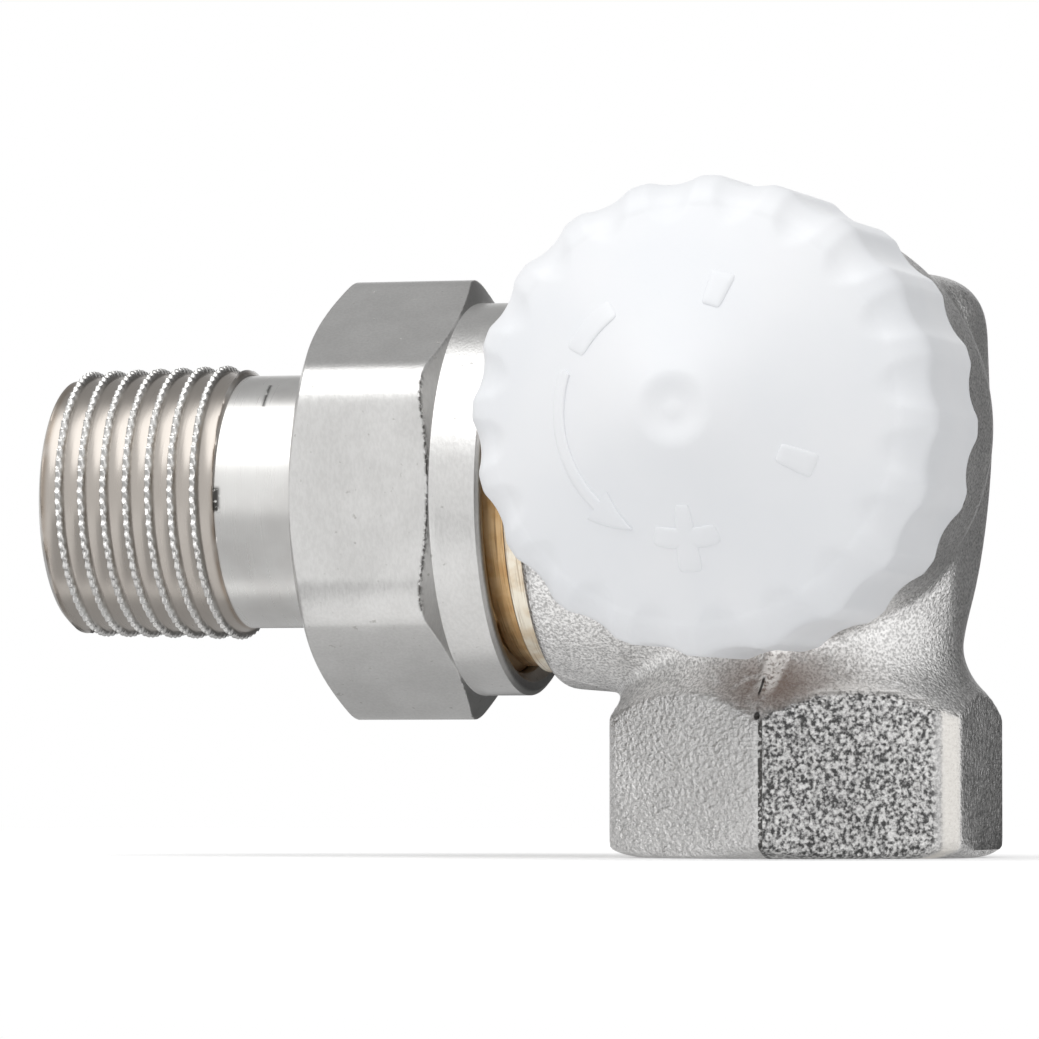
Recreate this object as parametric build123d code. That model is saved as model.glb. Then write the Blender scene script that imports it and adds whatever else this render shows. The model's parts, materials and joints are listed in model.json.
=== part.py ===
"""Corner radiator valve body, DN 15, with its insert, union and hand cap.

Millimetres. The origin is the centre of the pipe socket's mouth. +Z runs up the pipe axis, the tail points
along -X, and the spindle with its cap points forward along -Y. Pieces on the tail or the spindle axis are
drawn about their own Z axis, which counts outwards from the pipe axis, and are then turned into place.
"""
import os
from math import acos, cos, degrees, radians, sin, sqrt, tan

from build123d import *

# Axes of the body
TAIL_HEIGHT = 27.2
SPINDLE_HEIGHT = 31.8
TAIL_REACH = 58.0

# Pipe socket
SOCKET_FLATS = 27.0
SOCKET_CORNER_ROUND = 2.0
SOCKET_MOUTH_RADIUS = 13.0
SOCKET_MOUTH_SLOPE = 17.0
PIPE_THREAD_RADIUS = 9.3155
PIPE_THREAD_LENGTH = 13.0
PIPE_STOP_RADIUS = 7.0
PIPE_STOP_DEPTH = 1.5

# Barrel
WAIST_RADIUS = 11.7
WAIST_ROUND = 5.0
SHOULDER_SLOPE = 45.0
BELLY_RADIUS = 14.1
BELLY_DROP = 1.3
BELLY_ROUND = 40.0
BARREL_RISE = 13.0
BARREL_TOP_RADIUS = 13.4
BARREL_TOP_ROUND = 6.0

# Front boss with the head thread
BOSS_ROOT_RADIUS = 12.4
BOSS_RADIUS = 16.0
BOSS_REAR = 5.0
BOSS_REAR_ROUND = 2.0
BOSS_FRONT = 16.0
BOSS_FRONT_CHAMFER = 0.4
HEAD_THREAD_RADIUS = 15.0
HEAD_THREAD_LENGTH = 8.5
HEAD_THREAD_CHAMFER = 0.8

# Neck and union thread
NECK_ROOT_RADIUS = 12.6
NECK_SWELL = 9.0
NECK_SWELL_RADIUS = 15.2
NECK_SWELL_ROUND = 14.0
NECK_RADIUS = 14.4
NECK_END = 18.8
NECK_ROUND = 1.0
UNION_RING_RADIUS = 13.3
UNION_RING_WIDTH = 1.3
UNION_RELIEF_RADIUS = 12.3
UNION_RELIEF_WIDTH = 1.7
UNION_THREAD_RADIUS = 13.2205
UNION_THREAD_LENGTH = 9.7
UNION_THREAD_CHAMFER = 0.8
UNION_SEAT_RADIUS = 11.4
UNION_SEAT_SLOPE = 30.0

# Waterways inside the casting
WATERWAY_RADIUS = 7.0
WATERWAY_END = 9.5
OUTLET_PORT_RADIUS = 5.0
OUTLET_PORT_START = (-13.5, -2.5)
OUTLET_PORT_END = (-5.0, -9.0)
INLET_PORT_RADIUS = 4.5
INLET_PORT_LEAN = 17.0
CHAMBER_RADIUS = 9.6
CHAMBER_BACK = 0.5
REAR_CHAMBER_RADIUS = 7.2
REAR_CHAMBER_DEPTH = 7.5
REAR_CHAMBER_ROUND = 2.0
SEAT_WALL = 3.5
SEAT_BORE_RADIUS = 5.0
SEAT_LIP_WIDTH = 1.2
SEAT_LIP_HEIGHT = 1.0

# Union nut
NUT_FLATS = 30.0
NUT_CORNER_ROUND = 2.4
NUT_REAR = 25.3
NUT_FRONT = 36.1
NUT_CHAMFER_SLOPE = 32.0
NUT_COLLAR_RADIUS = 14.95
NUT_COLLAR_END = 21.4
NUT_COLLAR_CHAMFER = 0.3
NUT_MOUTH_CHAMFER = 0.7
NUT_BORE_RADIUS = 10.9
NUT_WALL = 2.5

# Tailpiece
TAIL_THREAD_RADIUS = 10.4775
TAIL_THREAD_LENGTH = 13.4
TAIL_END_CHAMFER = 0.85
SHANK_RADIUS = 9.7
TAIL_COLLAR_RADIUS = 12.2
TAIL_COLLAR_LENGTH = 1.4
TAIL_BALL_RADIUS = 11.0

# Hand cap
CAP_RADIUS = 17.2
CAP_RIM = 17.5
CAP_SHOULDER = 32.4
CAP_SHOULDER_ROUND = 4.0
CAP_SHOULDER_SLOPE = 27.0
CAP_KNEE_RADIUS = 9.5
CAP_KNEE_ROUND = 40.0
CAP_TIP_SLOPE = 23.6
CAP_WALL = 2.0
CAP_RIM_CHAMFER = 0.4
CAP_PAD_RADIUS = 3.2
FLUTE_COUNT = 20
FLUTE_START = 7.0
FLUTE_RADIUS = 4.0
FLUTE_DEPTH = 0.5
FLUTE_FADE = 9.0
FLUTE_RUNOUT = 7.0
DIMPLE_RADIUS = 2.5
DIMPLE_DEPTH = 0.8

# Insert housing
BONNET_NOSE = 11.0
BONNET_THREAD_RADIUS = 11.0
BONNET_THREAD_LENGTH = 9.0
BONNET_FLANGE_RADIUS = 12.6
BONNET_FLANGE = 1.5
BONNET_FLATS = 19.0
BONNET_HEX_HEIGHT = 4.0
BONNET_RING_SECTION = 1.8
BONNET_RING_PLACE = 1.6
GUIDE_LENGTH = 1.5
LOWER_RING_SECTION = 1.6
BACKING_WASHER = 0.8
SPRING_CHAMBER_RADIUS = 4.9
GLAND_FLATS = 11.0
GLAND_HEAD_HEIGHT = 2.5
GLAND_THREAD_RADIUS = 5.2
GLAND_THREAD_LENGTH = 3.0
GLAND_OUTER_SECTION = 1.0
GLAND_INNER_SECTION = 1.5
GLAND_INNER_PLACE = 1.4

# Moving pieces of the insert
CLOSED_PIN_HEIGHT = 11.5
REST_OPENING = 1.2
PIN_RADIUS = 1.75
PIN_ROUND = 0.4
PIN_FOOT_RADIUS = 2.6
PIN_FOOT_HEIGHT = 0.9
SPINDLE_RADIUS = 2.0
SPINDLE_TIP = 24.0
SPINDLE_THREAD_RADIUS = 1.5
SPINDLE_THREAD_STUB = 0.3
RETAINER_PLACE = 0.9
RETAINER_RADIUS = 3.3
RETAINER_THICKNESS = 0.6
RETAINER_GROOVE = 0.4
RETAINER_MOUTH = 2.4
CUP_RADIUS = 4.6
CUP_THICKNESS = 0.8
CUP_HUB_RADIUS = 3.4
CUP_HUB_HEIGHT = 1.2
SPRING_WIRE = 0.7
SPRING_RADIUS = 4.1
SPRING_TURNS = 4.5
DISC_RADIUS = 7.0
DISC_THICKNESS = 2.2
HOLDER_WALL = 0.8
HOLDER_THICKNESS = 1.2
HOLDER_RIM = 1.2
DISC_WASHER_RADIUS = 3.6
DISC_WASHER_THICKNESS = 0.5
DISC_NUT_FLATS = 5.5
DISC_NUT_HEIGHT = 1.6

# Clearances
THREAD_CLEARANCE = 0.05
SLIDE_CLEARANCE = 0.05
SEAL_CLEARANCE = 0.02
FACE_GAP = 0.02

# Places that follow from the sizes above, counted outwards along each axis
BELLY_HEIGHT = SPINDLE_HEIGHT - BELLY_DROP
BARREL_TOP = SPINDLE_HEIGHT + BARREL_RISE
HEAD_FACE = BOSS_FRONT + HEAD_THREAD_LENGTH
UNION_RING_END = NECK_END + UNION_RING_WIDTH
UNION_THREAD_START = UNION_RING_END + UNION_RELIEF_WIDTH
UNION_END = UNION_THREAD_START + UNION_THREAD_LENGTH
NUT_INNER_FACE = NUT_FRONT - NUT_WALL
SEAT_FACE = CHAMBER_BACK + SEAT_LIP_HEIGHT
DISC_FACE = SEAT_FACE + REST_OPENING + FACE_GAP
HOLDER_BACK = DISC_FACE + DISC_THICKNESS
HOLDER_FRONT = HOLDER_BACK + HOLDER_THICKNESS
DISC_NUT_BACK = DISC_FACE - DISC_WASHER_THICKNESS - DISC_NUT_HEIGHT
BONNET_THREAD_START = HEAD_FACE - BONNET_THREAD_LENGTH
BONNET_FRONT = HEAD_FACE + BONNET_FLANGE + BONNET_HEX_HEIGHT
LOWER_RING_BACK = BONNET_NOSE + GUIDE_LENGTH
SPRING_FLOOR = LOWER_RING_BACK + LOWER_RING_SECTION + BACKING_WASHER
GUIDE_RADIUS = SPINDLE_RADIUS + SLIDE_CLEARANCE
RING_POCKET_RADIUS = GUIDE_RADIUS + LOWER_RING_SECTION + SEAL_CLEARANCE
GLAND_BACK = BONNET_FRONT - GLAND_THREAD_LENGTH
GLAND_BORE_RADIUS = PIN_RADIUS + SLIDE_CLEARANCE
GLAND_RING_BACK = GLAND_BACK + GLAND_INNER_PLACE
RETAINER_FRONT = SPINDLE_TIP - RETAINER_PLACE
CUP_FRONT = RETAINER_FRONT - RETAINER_THICKNESS
CUP_BACK = CUP_FRONT - CUP_THICKNESS
PIN_TIP = HEAD_FACE + CLOSED_PIN_HEIGHT + REST_OPENING
CAP_PAD = PIN_TIP + FACE_GAP

TAIL_AXIS = Plane(origin=(0, 0, TAIL_HEIGHT), x_dir=(0, -1, 0), z_dir=(-1, 0, 0))
SPINDLE_AXIS = Plane(origin=(0, 0, SPINDLE_HEIGHT), x_dir=(1, 0, 0), z_dir=(0, -1, 0))


# Shapes that many pieces share
def turned(*corners):
    """Solid turned about Z from the (radius, height) corners of half a section.

    A third value in a corner rounds it.
    """
    points = [corner[:2] for corner in corners]
    rounds = [corner[2] if len(corner) == 3 else 0 for corner in corners]
    return revolve(Plane.XZ * make_face(FilletPolyline(*points, radius=rounds, close=True)), Axis.Z)


def sleeve(inner, outer, start, end):
    """Plain tube about Z between two heights."""
    return turned((inner, start), (outer, start), (outer, end), (inner, end))


def corner_radius(flats):
    """Distance from a hexagon's centre to its sharp corners."""
    return flats / 2 / cos(radians(30))


def hexagon(flats, start, end, corner_round=0):
    """Hexagon bar about Z between two heights, with a flat towards +X."""
    outline = RegularPolygon(flats / 2, 6, major_radius=False, rotation=30)
    if corner_round:
        outline = fillet(outline.vertices(), corner_round)
    return Pos(0, 0, start) * extrude(outline, end - start)


def chamfered_hexagon(flats, start, end, slope, corner_round=0):
    """Hexagon bar with turned chamfers that leave an arc on every flat at both ends."""
    outer = corner_radius(flats)
    rise = (outer - flats / 2) * tan(radians(slope))
    blank = turned(
        (0, start), (flats / 2, start), (outer, start + rise), (outer, end - rise), (flats / 2, end), (0, end)
    )
    return hexagon(flats, start, end, corner_round) & blank


def seal(inner_radius, section, start):
    """Round-section sealing ring about Z, from its inner radius and the height where it starts."""
    thickness = section / 2
    return Pos(0, 0, start + thickness) * Torus(inner_radius + thickness, thickness)


def passage(start, end, radius):
    """Round drilling between two points of the body."""
    run = Vector(end) - Vector(start)
    bar = Cylinder(radius, run.length, align=(Align.CENTER, Align.CENTER, Align.MIN))
    return Plane(origin=start, z_dir=run) * bar


# Valve body
def barrel_and_socket():
    """Hexagon socket, waist and rounded barrel, turned about the pipe axis and planed to the hexagon."""
    centres = BELLY_ROUND + WAIST_ROUND
    lean = acos((centres + WAIST_RADIUS - BELLY_RADIUS) / centres)
    waist_height = BELLY_HEIGHT - centres * sin(lean)
    slope = radians(SHOULDER_SLOPE)
    shoulder = (WAIST_RADIUS + WAIST_ROUND * (1 - cos(slope)), waist_height - WAIST_ROUND * sin(slope))
    blank = corner_radius(SOCKET_FLATS)
    blank_top = shoulder[1] - (blank - shoulder[0]) / tan(slope)
    mouth_rise = (blank - SOCKET_MOUTH_RADIUS) * tan(radians(SOCKET_MOUTH_SLOPE))
    foot = Polyline((0, 0), (SOCKET_MOUTH_RADIUS, 0), (blank, mouth_rise), (blank, blank_top), shoulder)
    waist = JernArc(shoulder, (-sin(slope), cos(slope)), WAIST_ROUND, -SHOULDER_SLOPE - degrees(lean))
    belly = JernArc(waist @ 1, waist % 1, BELLY_ROUND, degrees(lean))
    top = FilletPolyline(belly @ 1, (BARREL_TOP_RADIUS, BARREL_TOP), (0, BARREL_TOP), radius=BARREL_TOP_ROUND)
    section = make_face([foot, waist, belly, top, Line((0, BARREL_TOP), (0, 0))])
    turning = revolve(Plane.XZ * section, Axis.Z)
    above_waist = Pos(0, 0, waist_height) * Cylinder(
        2 * BELLY_RADIUS, BARREL_TOP, align=(Align.CENTER, Align.CENTER, Align.MIN)
    )
    return turning & (hexagon(SOCKET_FLATS, 0, waist_height, SOCKET_CORNER_ROUND) + above_waist)


def front_boss():
    """Boss about the spindle axis, sunk into the barrel at the rear, with the head thread in front."""
    return SPINDLE_AXIS * turned(
        (0, 0),
        (BOSS_ROOT_RADIUS, 0),
        (BOSS_RADIUS, BOSS_REAR, BOSS_REAR_ROUND),
        (BOSS_RADIUS, BOSS_FRONT - BOSS_FRONT_CHAMFER),
        (BOSS_RADIUS - BOSS_FRONT_CHAMFER, BOSS_FRONT),
        (HEAD_THREAD_RADIUS, BOSS_FRONT),
        (HEAD_THREAD_RADIUS, HEAD_FACE - HEAD_THREAD_CHAMFER),
        (HEAD_THREAD_RADIUS - HEAD_THREAD_CHAMFER, HEAD_FACE),
        (0, HEAD_FACE),
    )


def neck():
    """Swelling neck about the tail axis, then the bare ring, relief and thread of the union."""
    return TAIL_AXIS * turned(
        (0, 0),
        (NECK_ROOT_RADIUS, 0),
        (NECK_SWELL_RADIUS, NECK_SWELL, NECK_SWELL_ROUND),
        (NECK_RADIUS, NECK_END, NECK_ROUND),
        (UNION_RING_RADIUS, NECK_END),
        (UNION_RING_RADIUS, UNION_RING_END),
        (UNION_RELIEF_RADIUS, UNION_RING_END),
        (UNION_RELIEF_RADIUS, UNION_THREAD_START),
        (UNION_THREAD_RADIUS, UNION_THREAD_START + UNION_THREAD_RADIUS - UNION_RELIEF_RADIUS),
        (UNION_THREAD_RADIUS, UNION_END - UNION_THREAD_CHAMFER),
        (UNION_THREAD_RADIUS - UNION_THREAD_CHAMFER, UNION_END),
        (0, UNION_END),
    )


def pipe_bore():
    """Threaded bore for the pipe, with a stop for the pipe's end."""
    stop = PIPE_THREAD_LENGTH + PIPE_STOP_DEPTH
    return turned(
        (0, 0),
        (PIPE_THREAD_RADIUS, 0),
        (PIPE_THREAD_RADIUS, PIPE_THREAD_LENGTH),
        (PIPE_STOP_RADIUS, PIPE_THREAD_LENGTH),
        (PIPE_STOP_RADIUS, stop),
        (0, stop),
    )


def tail_bore():
    """Waterway towards the tail, opening into the union's conical seat."""
    seat_depth = (UNION_SEAT_RADIUS - WATERWAY_RADIUS) / tan(radians(UNION_SEAT_SLOPE))
    return TAIL_AXIS * turned(
        (0, WATERWAY_END),
        (WATERWAY_RADIUS, WATERWAY_END),
        (WATERWAY_RADIUS, UNION_END - seat_depth),
        (UNION_SEAT_RADIUS, UNION_END),
        (0, UNION_END),
    )


def insert_bore():
    """Rear chamber, seat with its raised lip, front chamber and the thread for the insert."""
    wall_back = CHAMBER_BACK - SEAT_WALL
    lip = SEAT_BORE_RADIUS + SEAT_LIP_WIDTH
    return SPINDLE_AXIS * turned(
        (0, wall_back - REAR_CHAMBER_DEPTH),
        (REAR_CHAMBER_RADIUS, wall_back - REAR_CHAMBER_DEPTH, REAR_CHAMBER_ROUND),
        (REAR_CHAMBER_RADIUS, wall_back),
        (SEAT_BORE_RADIUS, wall_back),
        (SEAT_BORE_RADIUS, SEAT_FACE),
        (lip, SEAT_FACE),
        (lip, CHAMBER_BACK),
        (CHAMBER_RADIUS, CHAMBER_BACK),
        (CHAMBER_RADIUS, BONNET_THREAD_START),
        (BONNET_THREAD_RADIUS, BONNET_THREAD_START),
        (BONNET_THREAD_RADIUS, HEAD_FACE),
        (0, HEAD_FACE),
    )


def valve_body():
    """One casting with its machined bores, and the two ports that join them round the seat."""
    rear_middle = SEAT_WALL - CHAMBER_BACK + REAR_CHAMBER_DEPTH / 2
    inlet_start = PIPE_THREAD_LENGTH
    inlet_rise = SPINDLE_HEIGHT - inlet_start - REAR_CHAMBER_RADIUS / 2
    inlet_run = inlet_rise * tan(radians(INLET_PORT_LEAN))
    inlet_end = (0, rear_middle, inlet_start + inlet_rise)
    inlet = passage((0, rear_middle - inlet_run, inlet_start), inlet_end, INLET_PORT_RADIUS)
    outlet_rise = (TAIL_HEIGHT + SPINDLE_HEIGHT) / 2
    outlet_start = (*OUTLET_PORT_START, TAIL_HEIGHT)
    outlet = passage(outlet_start, (*OUTLET_PORT_END, outlet_rise), OUTLET_PORT_RADIUS)
    casting = barrel_and_socket() + front_boss() + neck()
    return casting - pipe_bore() - tail_bore() - insert_bore() - inlet - outlet


# Union
def union_nut():
    """Hexagon nut with a round collar, threaded inside and with a shoulder that draws the tailpiece in."""
    collar = turned(
        (0, NUT_COLLAR_END),
        (NUT_COLLAR_RADIUS - NUT_COLLAR_CHAMFER, NUT_COLLAR_END),
        (NUT_COLLAR_RADIUS, NUT_COLLAR_END + NUT_COLLAR_CHAMFER),
        (NUT_COLLAR_RADIUS, NUT_REAR),
        (0, NUT_REAR),
    )
    thread = UNION_THREAD_RADIUS + THREAD_CLEARANCE
    bore = turned(
        (0, NUT_COLLAR_END),
        (thread + NUT_MOUTH_CHAMFER, NUT_COLLAR_END),
        (thread, NUT_COLLAR_END + NUT_MOUTH_CHAMFER),
        (thread, NUT_INNER_FACE),
        (NUT_BORE_RADIUS, NUT_INNER_FACE),
        (NUT_BORE_RADIUS, NUT_FRONT),
        (0, NUT_FRONT),
    )
    bar = chamfered_hexagon(NUT_FLATS, NUT_REAR, NUT_FRONT, NUT_CHAMFER_SLOPE, NUT_CORNER_ROUND)
    return TAIL_AXIS * (collar + bar - bore)


def tailpiece():
    """Turned tube: ball nose and collar inside the nut, plain shank, and the thread's bar outside."""
    slope = radians(UNION_SEAT_SLOPE)
    reach = (UNION_SEAT_RADIUS - (TAIL_BALL_RADIUS + FACE_GAP) / cos(slope)) / tan(slope)
    ball_centre = UNION_END - reach
    collar_back = NUT_INNER_FACE - TAIL_COLLAR_LENGTH
    nose = ball_centre - sqrt(TAIL_BALL_RADIUS**2 - WATERWAY_RADIUS**2)
    thread_start = TAIL_REACH - TAIL_THREAD_LENGTH
    blank = turned(
        (WATERWAY_RADIUS, nose),
        (TAIL_COLLAR_RADIUS, nose),
        (TAIL_COLLAR_RADIUS, NUT_INNER_FACE),
        (SHANK_RADIUS, NUT_INNER_FACE),
        (SHANK_RADIUS, thread_start + SHANK_RADIUS - TAIL_THREAD_RADIUS),
        (TAIL_THREAD_RADIUS, thread_start),
        (TAIL_THREAD_RADIUS, TAIL_REACH - TAIL_END_CHAMFER),
        (TAIL_THREAD_RADIUS - TAIL_END_CHAMFER, TAIL_REACH),
        (WATERWAY_RADIUS, TAIL_REACH),
    )
    turned_away = sleeve(0, 2 * TAIL_COLLAR_RADIUS, nose, collar_back)
    ball = Pos(0, 0, ball_centre) * Sphere(TAIL_BALL_RADIUS)
    return TAIL_AXIS * (blank - (turned_away - ball))


# Hand cap
def cap_outline_heights():
    """Heights of the dome's knee and of its sharp tip, before the tip is rounded."""
    knee = CAP_SHOULDER + (CAP_RADIUS - CAP_KNEE_RADIUS) * tan(radians(CAP_SHOULDER_SLOPE))
    return knee, knee + CAP_KNEE_RADIUS * tan(radians(CAP_TIP_SLOPE))


def flute():
    """Round cutter along one flute: up the skirt, round the shoulder and out of the dome."""
    offset = CAP_RADIUS + FLUTE_RADIUS - FLUTE_DEPTH
    arc_start = CAP_SHOULDER - CAP_SHOULDER_ROUND * tan(radians(90 - CAP_SHOULDER_SLOPE) / 2)
    arc_radius = CAP_SHOULDER_ROUND + FLUTE_RADIUS - FLUTE_DEPTH
    start = (offset, 0, CAP_RIM - FLUTE_DEPTH)
    skirt = Line(start, (offset, 0, arc_start))
    bend = JernArc((offset, arc_start), (0, 1), arc_radius, 90 - CAP_SHOULDER_SLOPE - FLUTE_FADE)
    runout = Line(bend @ 1, (bend @ 1) + (bend % 1) * FLUTE_RUNOUT)
    path = Wire([skirt, Plane.XZ * bend, Plane.XZ * runout])
    return sweep(Plane(origin=start, z_dir=(0, 0, 1)) * Circle(FLUTE_RADIUS), path)


def protective_cap():
    """Moulded cap with flutes that run out on the dome, a dimple, a thread bore and a pad for the pin."""
    knee, tip = cap_outline_heights()
    outside = turned(
        (0, CAP_RIM),
        (CAP_RADIUS - CAP_RIM_CHAMFER, CAP_RIM),
        (CAP_RADIUS, CAP_RIM + CAP_RIM_CHAMFER),
        (CAP_RADIUS, CAP_SHOULDER, CAP_SHOULDER_ROUND),
        (CAP_KNEE_RADIUS, knee, CAP_KNEE_ROUND),
        (0, tip),
    )
    thread = HEAD_THREAD_RADIUS + THREAD_CLEARANCE
    outer_drop = CAP_WALL / cos(radians(CAP_SHOULDER_SLOPE))
    thread_end = knee - (thread - CAP_KNEE_RADIUS) * tan(radians(CAP_SHOULDER_SLOPE)) - outer_drop
    pad_edge = knee - outer_drop + (CAP_KNEE_RADIUS - CAP_PAD_RADIUS) * tan(radians(CAP_TIP_SLOPE))
    inside = turned(
        (0, CAP_RIM),
        (thread, CAP_RIM),
        (thread, thread_end),
        (CAP_KNEE_RADIUS, knee - outer_drop),
        (CAP_PAD_RADIUS, pad_edge),
        (CAP_PAD_RADIUS, CAP_PAD),
        (0, CAP_PAD),
    )
    dimple_floor = tip - DIMPLE_RADIUS * tan(radians(CAP_TIP_SLOPE)) - DIMPLE_DEPTH
    dimple = turned((0, dimple_floor), (DIMPLE_RADIUS, dimple_floor), (DIMPLE_RADIUS, tip), (0, tip))
    flutes = PolarLocations(0, FLUTE_COUNT, start_angle=FLUTE_START) * flute()
    return SPINDLE_AXIS * (outside - flutes - inside - dimple)


# Insert that stays with the body
def bonnet():
    """Housing of the insert: nose with a ring groove, thread, flange and hexagon, bored for what moves."""
    nose_radius = CHAMBER_RADIUS - SLIDE_CLEARANCE
    thread = BONNET_THREAD_RADIUS - THREAD_CLEARANCE
    flange_front = HEAD_FACE + BONNET_FLANGE
    groove_back = BONNET_NOSE + BONNET_RING_PLACE
    groove_floor = CHAMBER_RADIUS - BONNET_RING_SECTION - SEAL_CLEARANCE
    outside = turned(
        (0, BONNET_NOSE),
        (nose_radius, BONNET_NOSE),
        (nose_radius, groove_back),
        (groove_floor, groove_back),
        (groove_floor, groove_back + BONNET_RING_SECTION),
        (nose_radius, groove_back + BONNET_RING_SECTION),
        (nose_radius, BONNET_THREAD_START),
        (thread, BONNET_THREAD_START),
        (thread, HEAD_FACE),
        (BONNET_FLANGE_RADIUS, HEAD_FACE),
        (BONNET_FLANGE_RADIUS, flange_front),
        (0, flange_front),
    )
    inside = turned(
        (0, BONNET_NOSE),
        (GUIDE_RADIUS, BONNET_NOSE),
        (GUIDE_RADIUS, LOWER_RING_BACK),
        (RING_POCKET_RADIUS, LOWER_RING_BACK),
        (RING_POCKET_RADIUS, SPRING_FLOOR),
        (SPRING_CHAMBER_RADIUS, SPRING_FLOOR),
        (SPRING_CHAMBER_RADIUS, GLAND_BACK),
        (GLAND_THREAD_RADIUS, GLAND_BACK),
        (GLAND_THREAD_RADIUS, BONNET_FRONT),
        (0, BONNET_FRONT),
    )
    return SPINDLE_AXIS * (outside + hexagon(BONNET_FLATS, flange_front, BONNET_FRONT) - inside)


def bonnet_o_ring():
    """Ring between the bonnet's groove and the front chamber."""
    inner = CHAMBER_RADIUS - BONNET_RING_SECTION - SEAL_CLEARANCE / 2
    return SPINDLE_AXIS * seal(inner, BONNET_RING_SECTION, BONNET_NOSE + BONNET_RING_PLACE)


def gland_nut():
    """Small hexagon nut that guides the pin, with a step for its outer ring and a groove for the inner."""
    step = GLAND_THREAD_RADIUS - GLAND_OUTER_SECTION - SEAL_CLEARANCE
    thread = GLAND_THREAD_RADIUS - THREAD_CLEARANCE
    groove = GLAND_BORE_RADIUS + GLAND_INNER_SECTION + SEAL_CLEARANCE
    outside = turned(
        (0, GLAND_BACK),
        (step, GLAND_BACK),
        (step, GLAND_BACK + GLAND_OUTER_SECTION),
        (thread, GLAND_BACK + GLAND_OUTER_SECTION),
        (thread, BONNET_FRONT),
        (0, BONNET_FRONT),
    )
    inside = turned(
        (0, GLAND_BACK),
        (GLAND_BORE_RADIUS, GLAND_BACK),
        (GLAND_BORE_RADIUS, GLAND_RING_BACK),
        (groove, GLAND_RING_BACK),
        (groove, GLAND_RING_BACK + GLAND_INNER_SECTION),
        (GLAND_BORE_RADIUS, GLAND_RING_BACK + GLAND_INNER_SECTION),
        (GLAND_BORE_RADIUS, BONNET_FRONT + GLAND_HEAD_HEIGHT),
        (0, BONNET_FRONT + GLAND_HEAD_HEIGHT),
    )
    head = chamfered_hexagon(GLAND_FLATS, BONNET_FRONT, BONNET_FRONT + GLAND_HEAD_HEIGHT, NUT_CHAMFER_SLOPE)
    return SPINDLE_AXIS * (outside + head - inside)


def gland_outer_o_ring():
    """Ring between the gland nut's step and the bonnet."""
    inner = GLAND_THREAD_RADIUS - GLAND_OUTER_SECTION - SEAL_CLEARANCE / 2
    return SPINDLE_AXIS * seal(inner, GLAND_OUTER_SECTION, GLAND_BACK)


def gland_inner_o_ring():
    """Ring between the gland nut's groove and the pressure pin."""
    return SPINDLE_AXIS * seal(GLAND_BORE_RADIUS, GLAND_INNER_SECTION, GLAND_RING_BACK)


def lower_o_ring():
    """Ring between the bonnet's pocket and the spindle."""
    return SPINDLE_AXIS * seal(GUIDE_RADIUS, LOWER_RING_SECTION, LOWER_RING_BACK)


def seal_backing_washer():
    """Washer that keeps the lower ring in its pocket."""
    outer = RING_POCKET_RADIUS - SEAL_CLEARANCE
    return SPINDLE_AXIS * sleeve(GUIDE_RADIUS, outer, SPRING_FLOOR - BACKING_WASHER, SPRING_FLOOR)


def return_spring():
    """Open coil between the bonnet's floor and the spring cup."""
    wire = SPRING_WIRE / 2
    start = SPRING_FLOOR + wire + FACE_GAP
    rise = CUP_BACK - wire - FACE_GAP - start
    coil = Helix(rise / SPRING_TURNS, rise, SPRING_RADIUS)
    section = Plane(origin=coil @ 0, z_dir=coil % 0) * Circle(wire)
    return SPINDLE_AXIS * Pos(0, 0, start) * sweep(section, coil, is_frenet=True)


# Moving pieces of the insert
def pressure_pin():
    """Pin that the cap presses, with a foot that keeps it behind the gland nut."""
    foot = SPINDLE_TIP + FACE_GAP
    return SPINDLE_AXIS * turned(
        (0, foot),
        (PIN_FOOT_RADIUS, foot),
        (PIN_FOOT_RADIUS, foot + PIN_FOOT_HEIGHT),
        (PIN_RADIUS, foot + PIN_FOOT_HEIGHT),
        (PIN_RADIUS, PIN_TIP, PIN_ROUND),
        (0, PIN_TIP),
    )


def spindle():
    """Stepped rod with a groove for the retaining ring and a thread stub for the disc."""
    stub_end = DISC_NUT_BACK - SPINDLE_THREAD_STUB
    groove = SPINDLE_RADIUS - RETAINER_GROOVE
    return SPINDLE_AXIS * turned(
        (0, stub_end),
        (SPINDLE_THREAD_RADIUS, stub_end),
        (SPINDLE_THREAD_RADIUS, HOLDER_FRONT),
        (SPINDLE_RADIUS, HOLDER_FRONT),
        (SPINDLE_RADIUS, CUP_FRONT),
        (groove, CUP_FRONT),
        (groove, RETAINER_FRONT),
        (SPINDLE_RADIUS, RETAINER_FRONT),
        (SPINDLE_RADIUS, SPINDLE_TIP),
        (0, SPINDLE_TIP),
    )


def spring_cup():
    """Flanged ring that carries the spring, with a hub inside the coil."""
    return SPINDLE_AXIS * turned(
        (GUIDE_RADIUS, CUP_BACK - CUP_HUB_HEIGHT),
        (CUP_HUB_RADIUS, CUP_BACK - CUP_HUB_HEIGHT),
        (CUP_HUB_RADIUS, CUP_BACK),
        (CUP_RADIUS, CUP_BACK),
        (CUP_RADIUS, CUP_FRONT),
        (GUIDE_RADIUS, CUP_FRONT),
    )


def spring_retaining_ring():
    """Open ring in the spindle's groove."""
    inner = SPINDLE_RADIUS - RETAINER_GROOVE + SEAL_CLEARANCE
    ring = sleeve(inner, RETAINER_RADIUS, CUP_FRONT, RETAINER_FRONT)
    mouth = Box(2 * RETAINER_RADIUS, RETAINER_MOUTH, 2 * RETAINER_THICKNESS)
    return SPINDLE_AXIS * (ring - Pos(RETAINER_RADIUS, 0, CUP_FRONT) * mouth)


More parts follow.
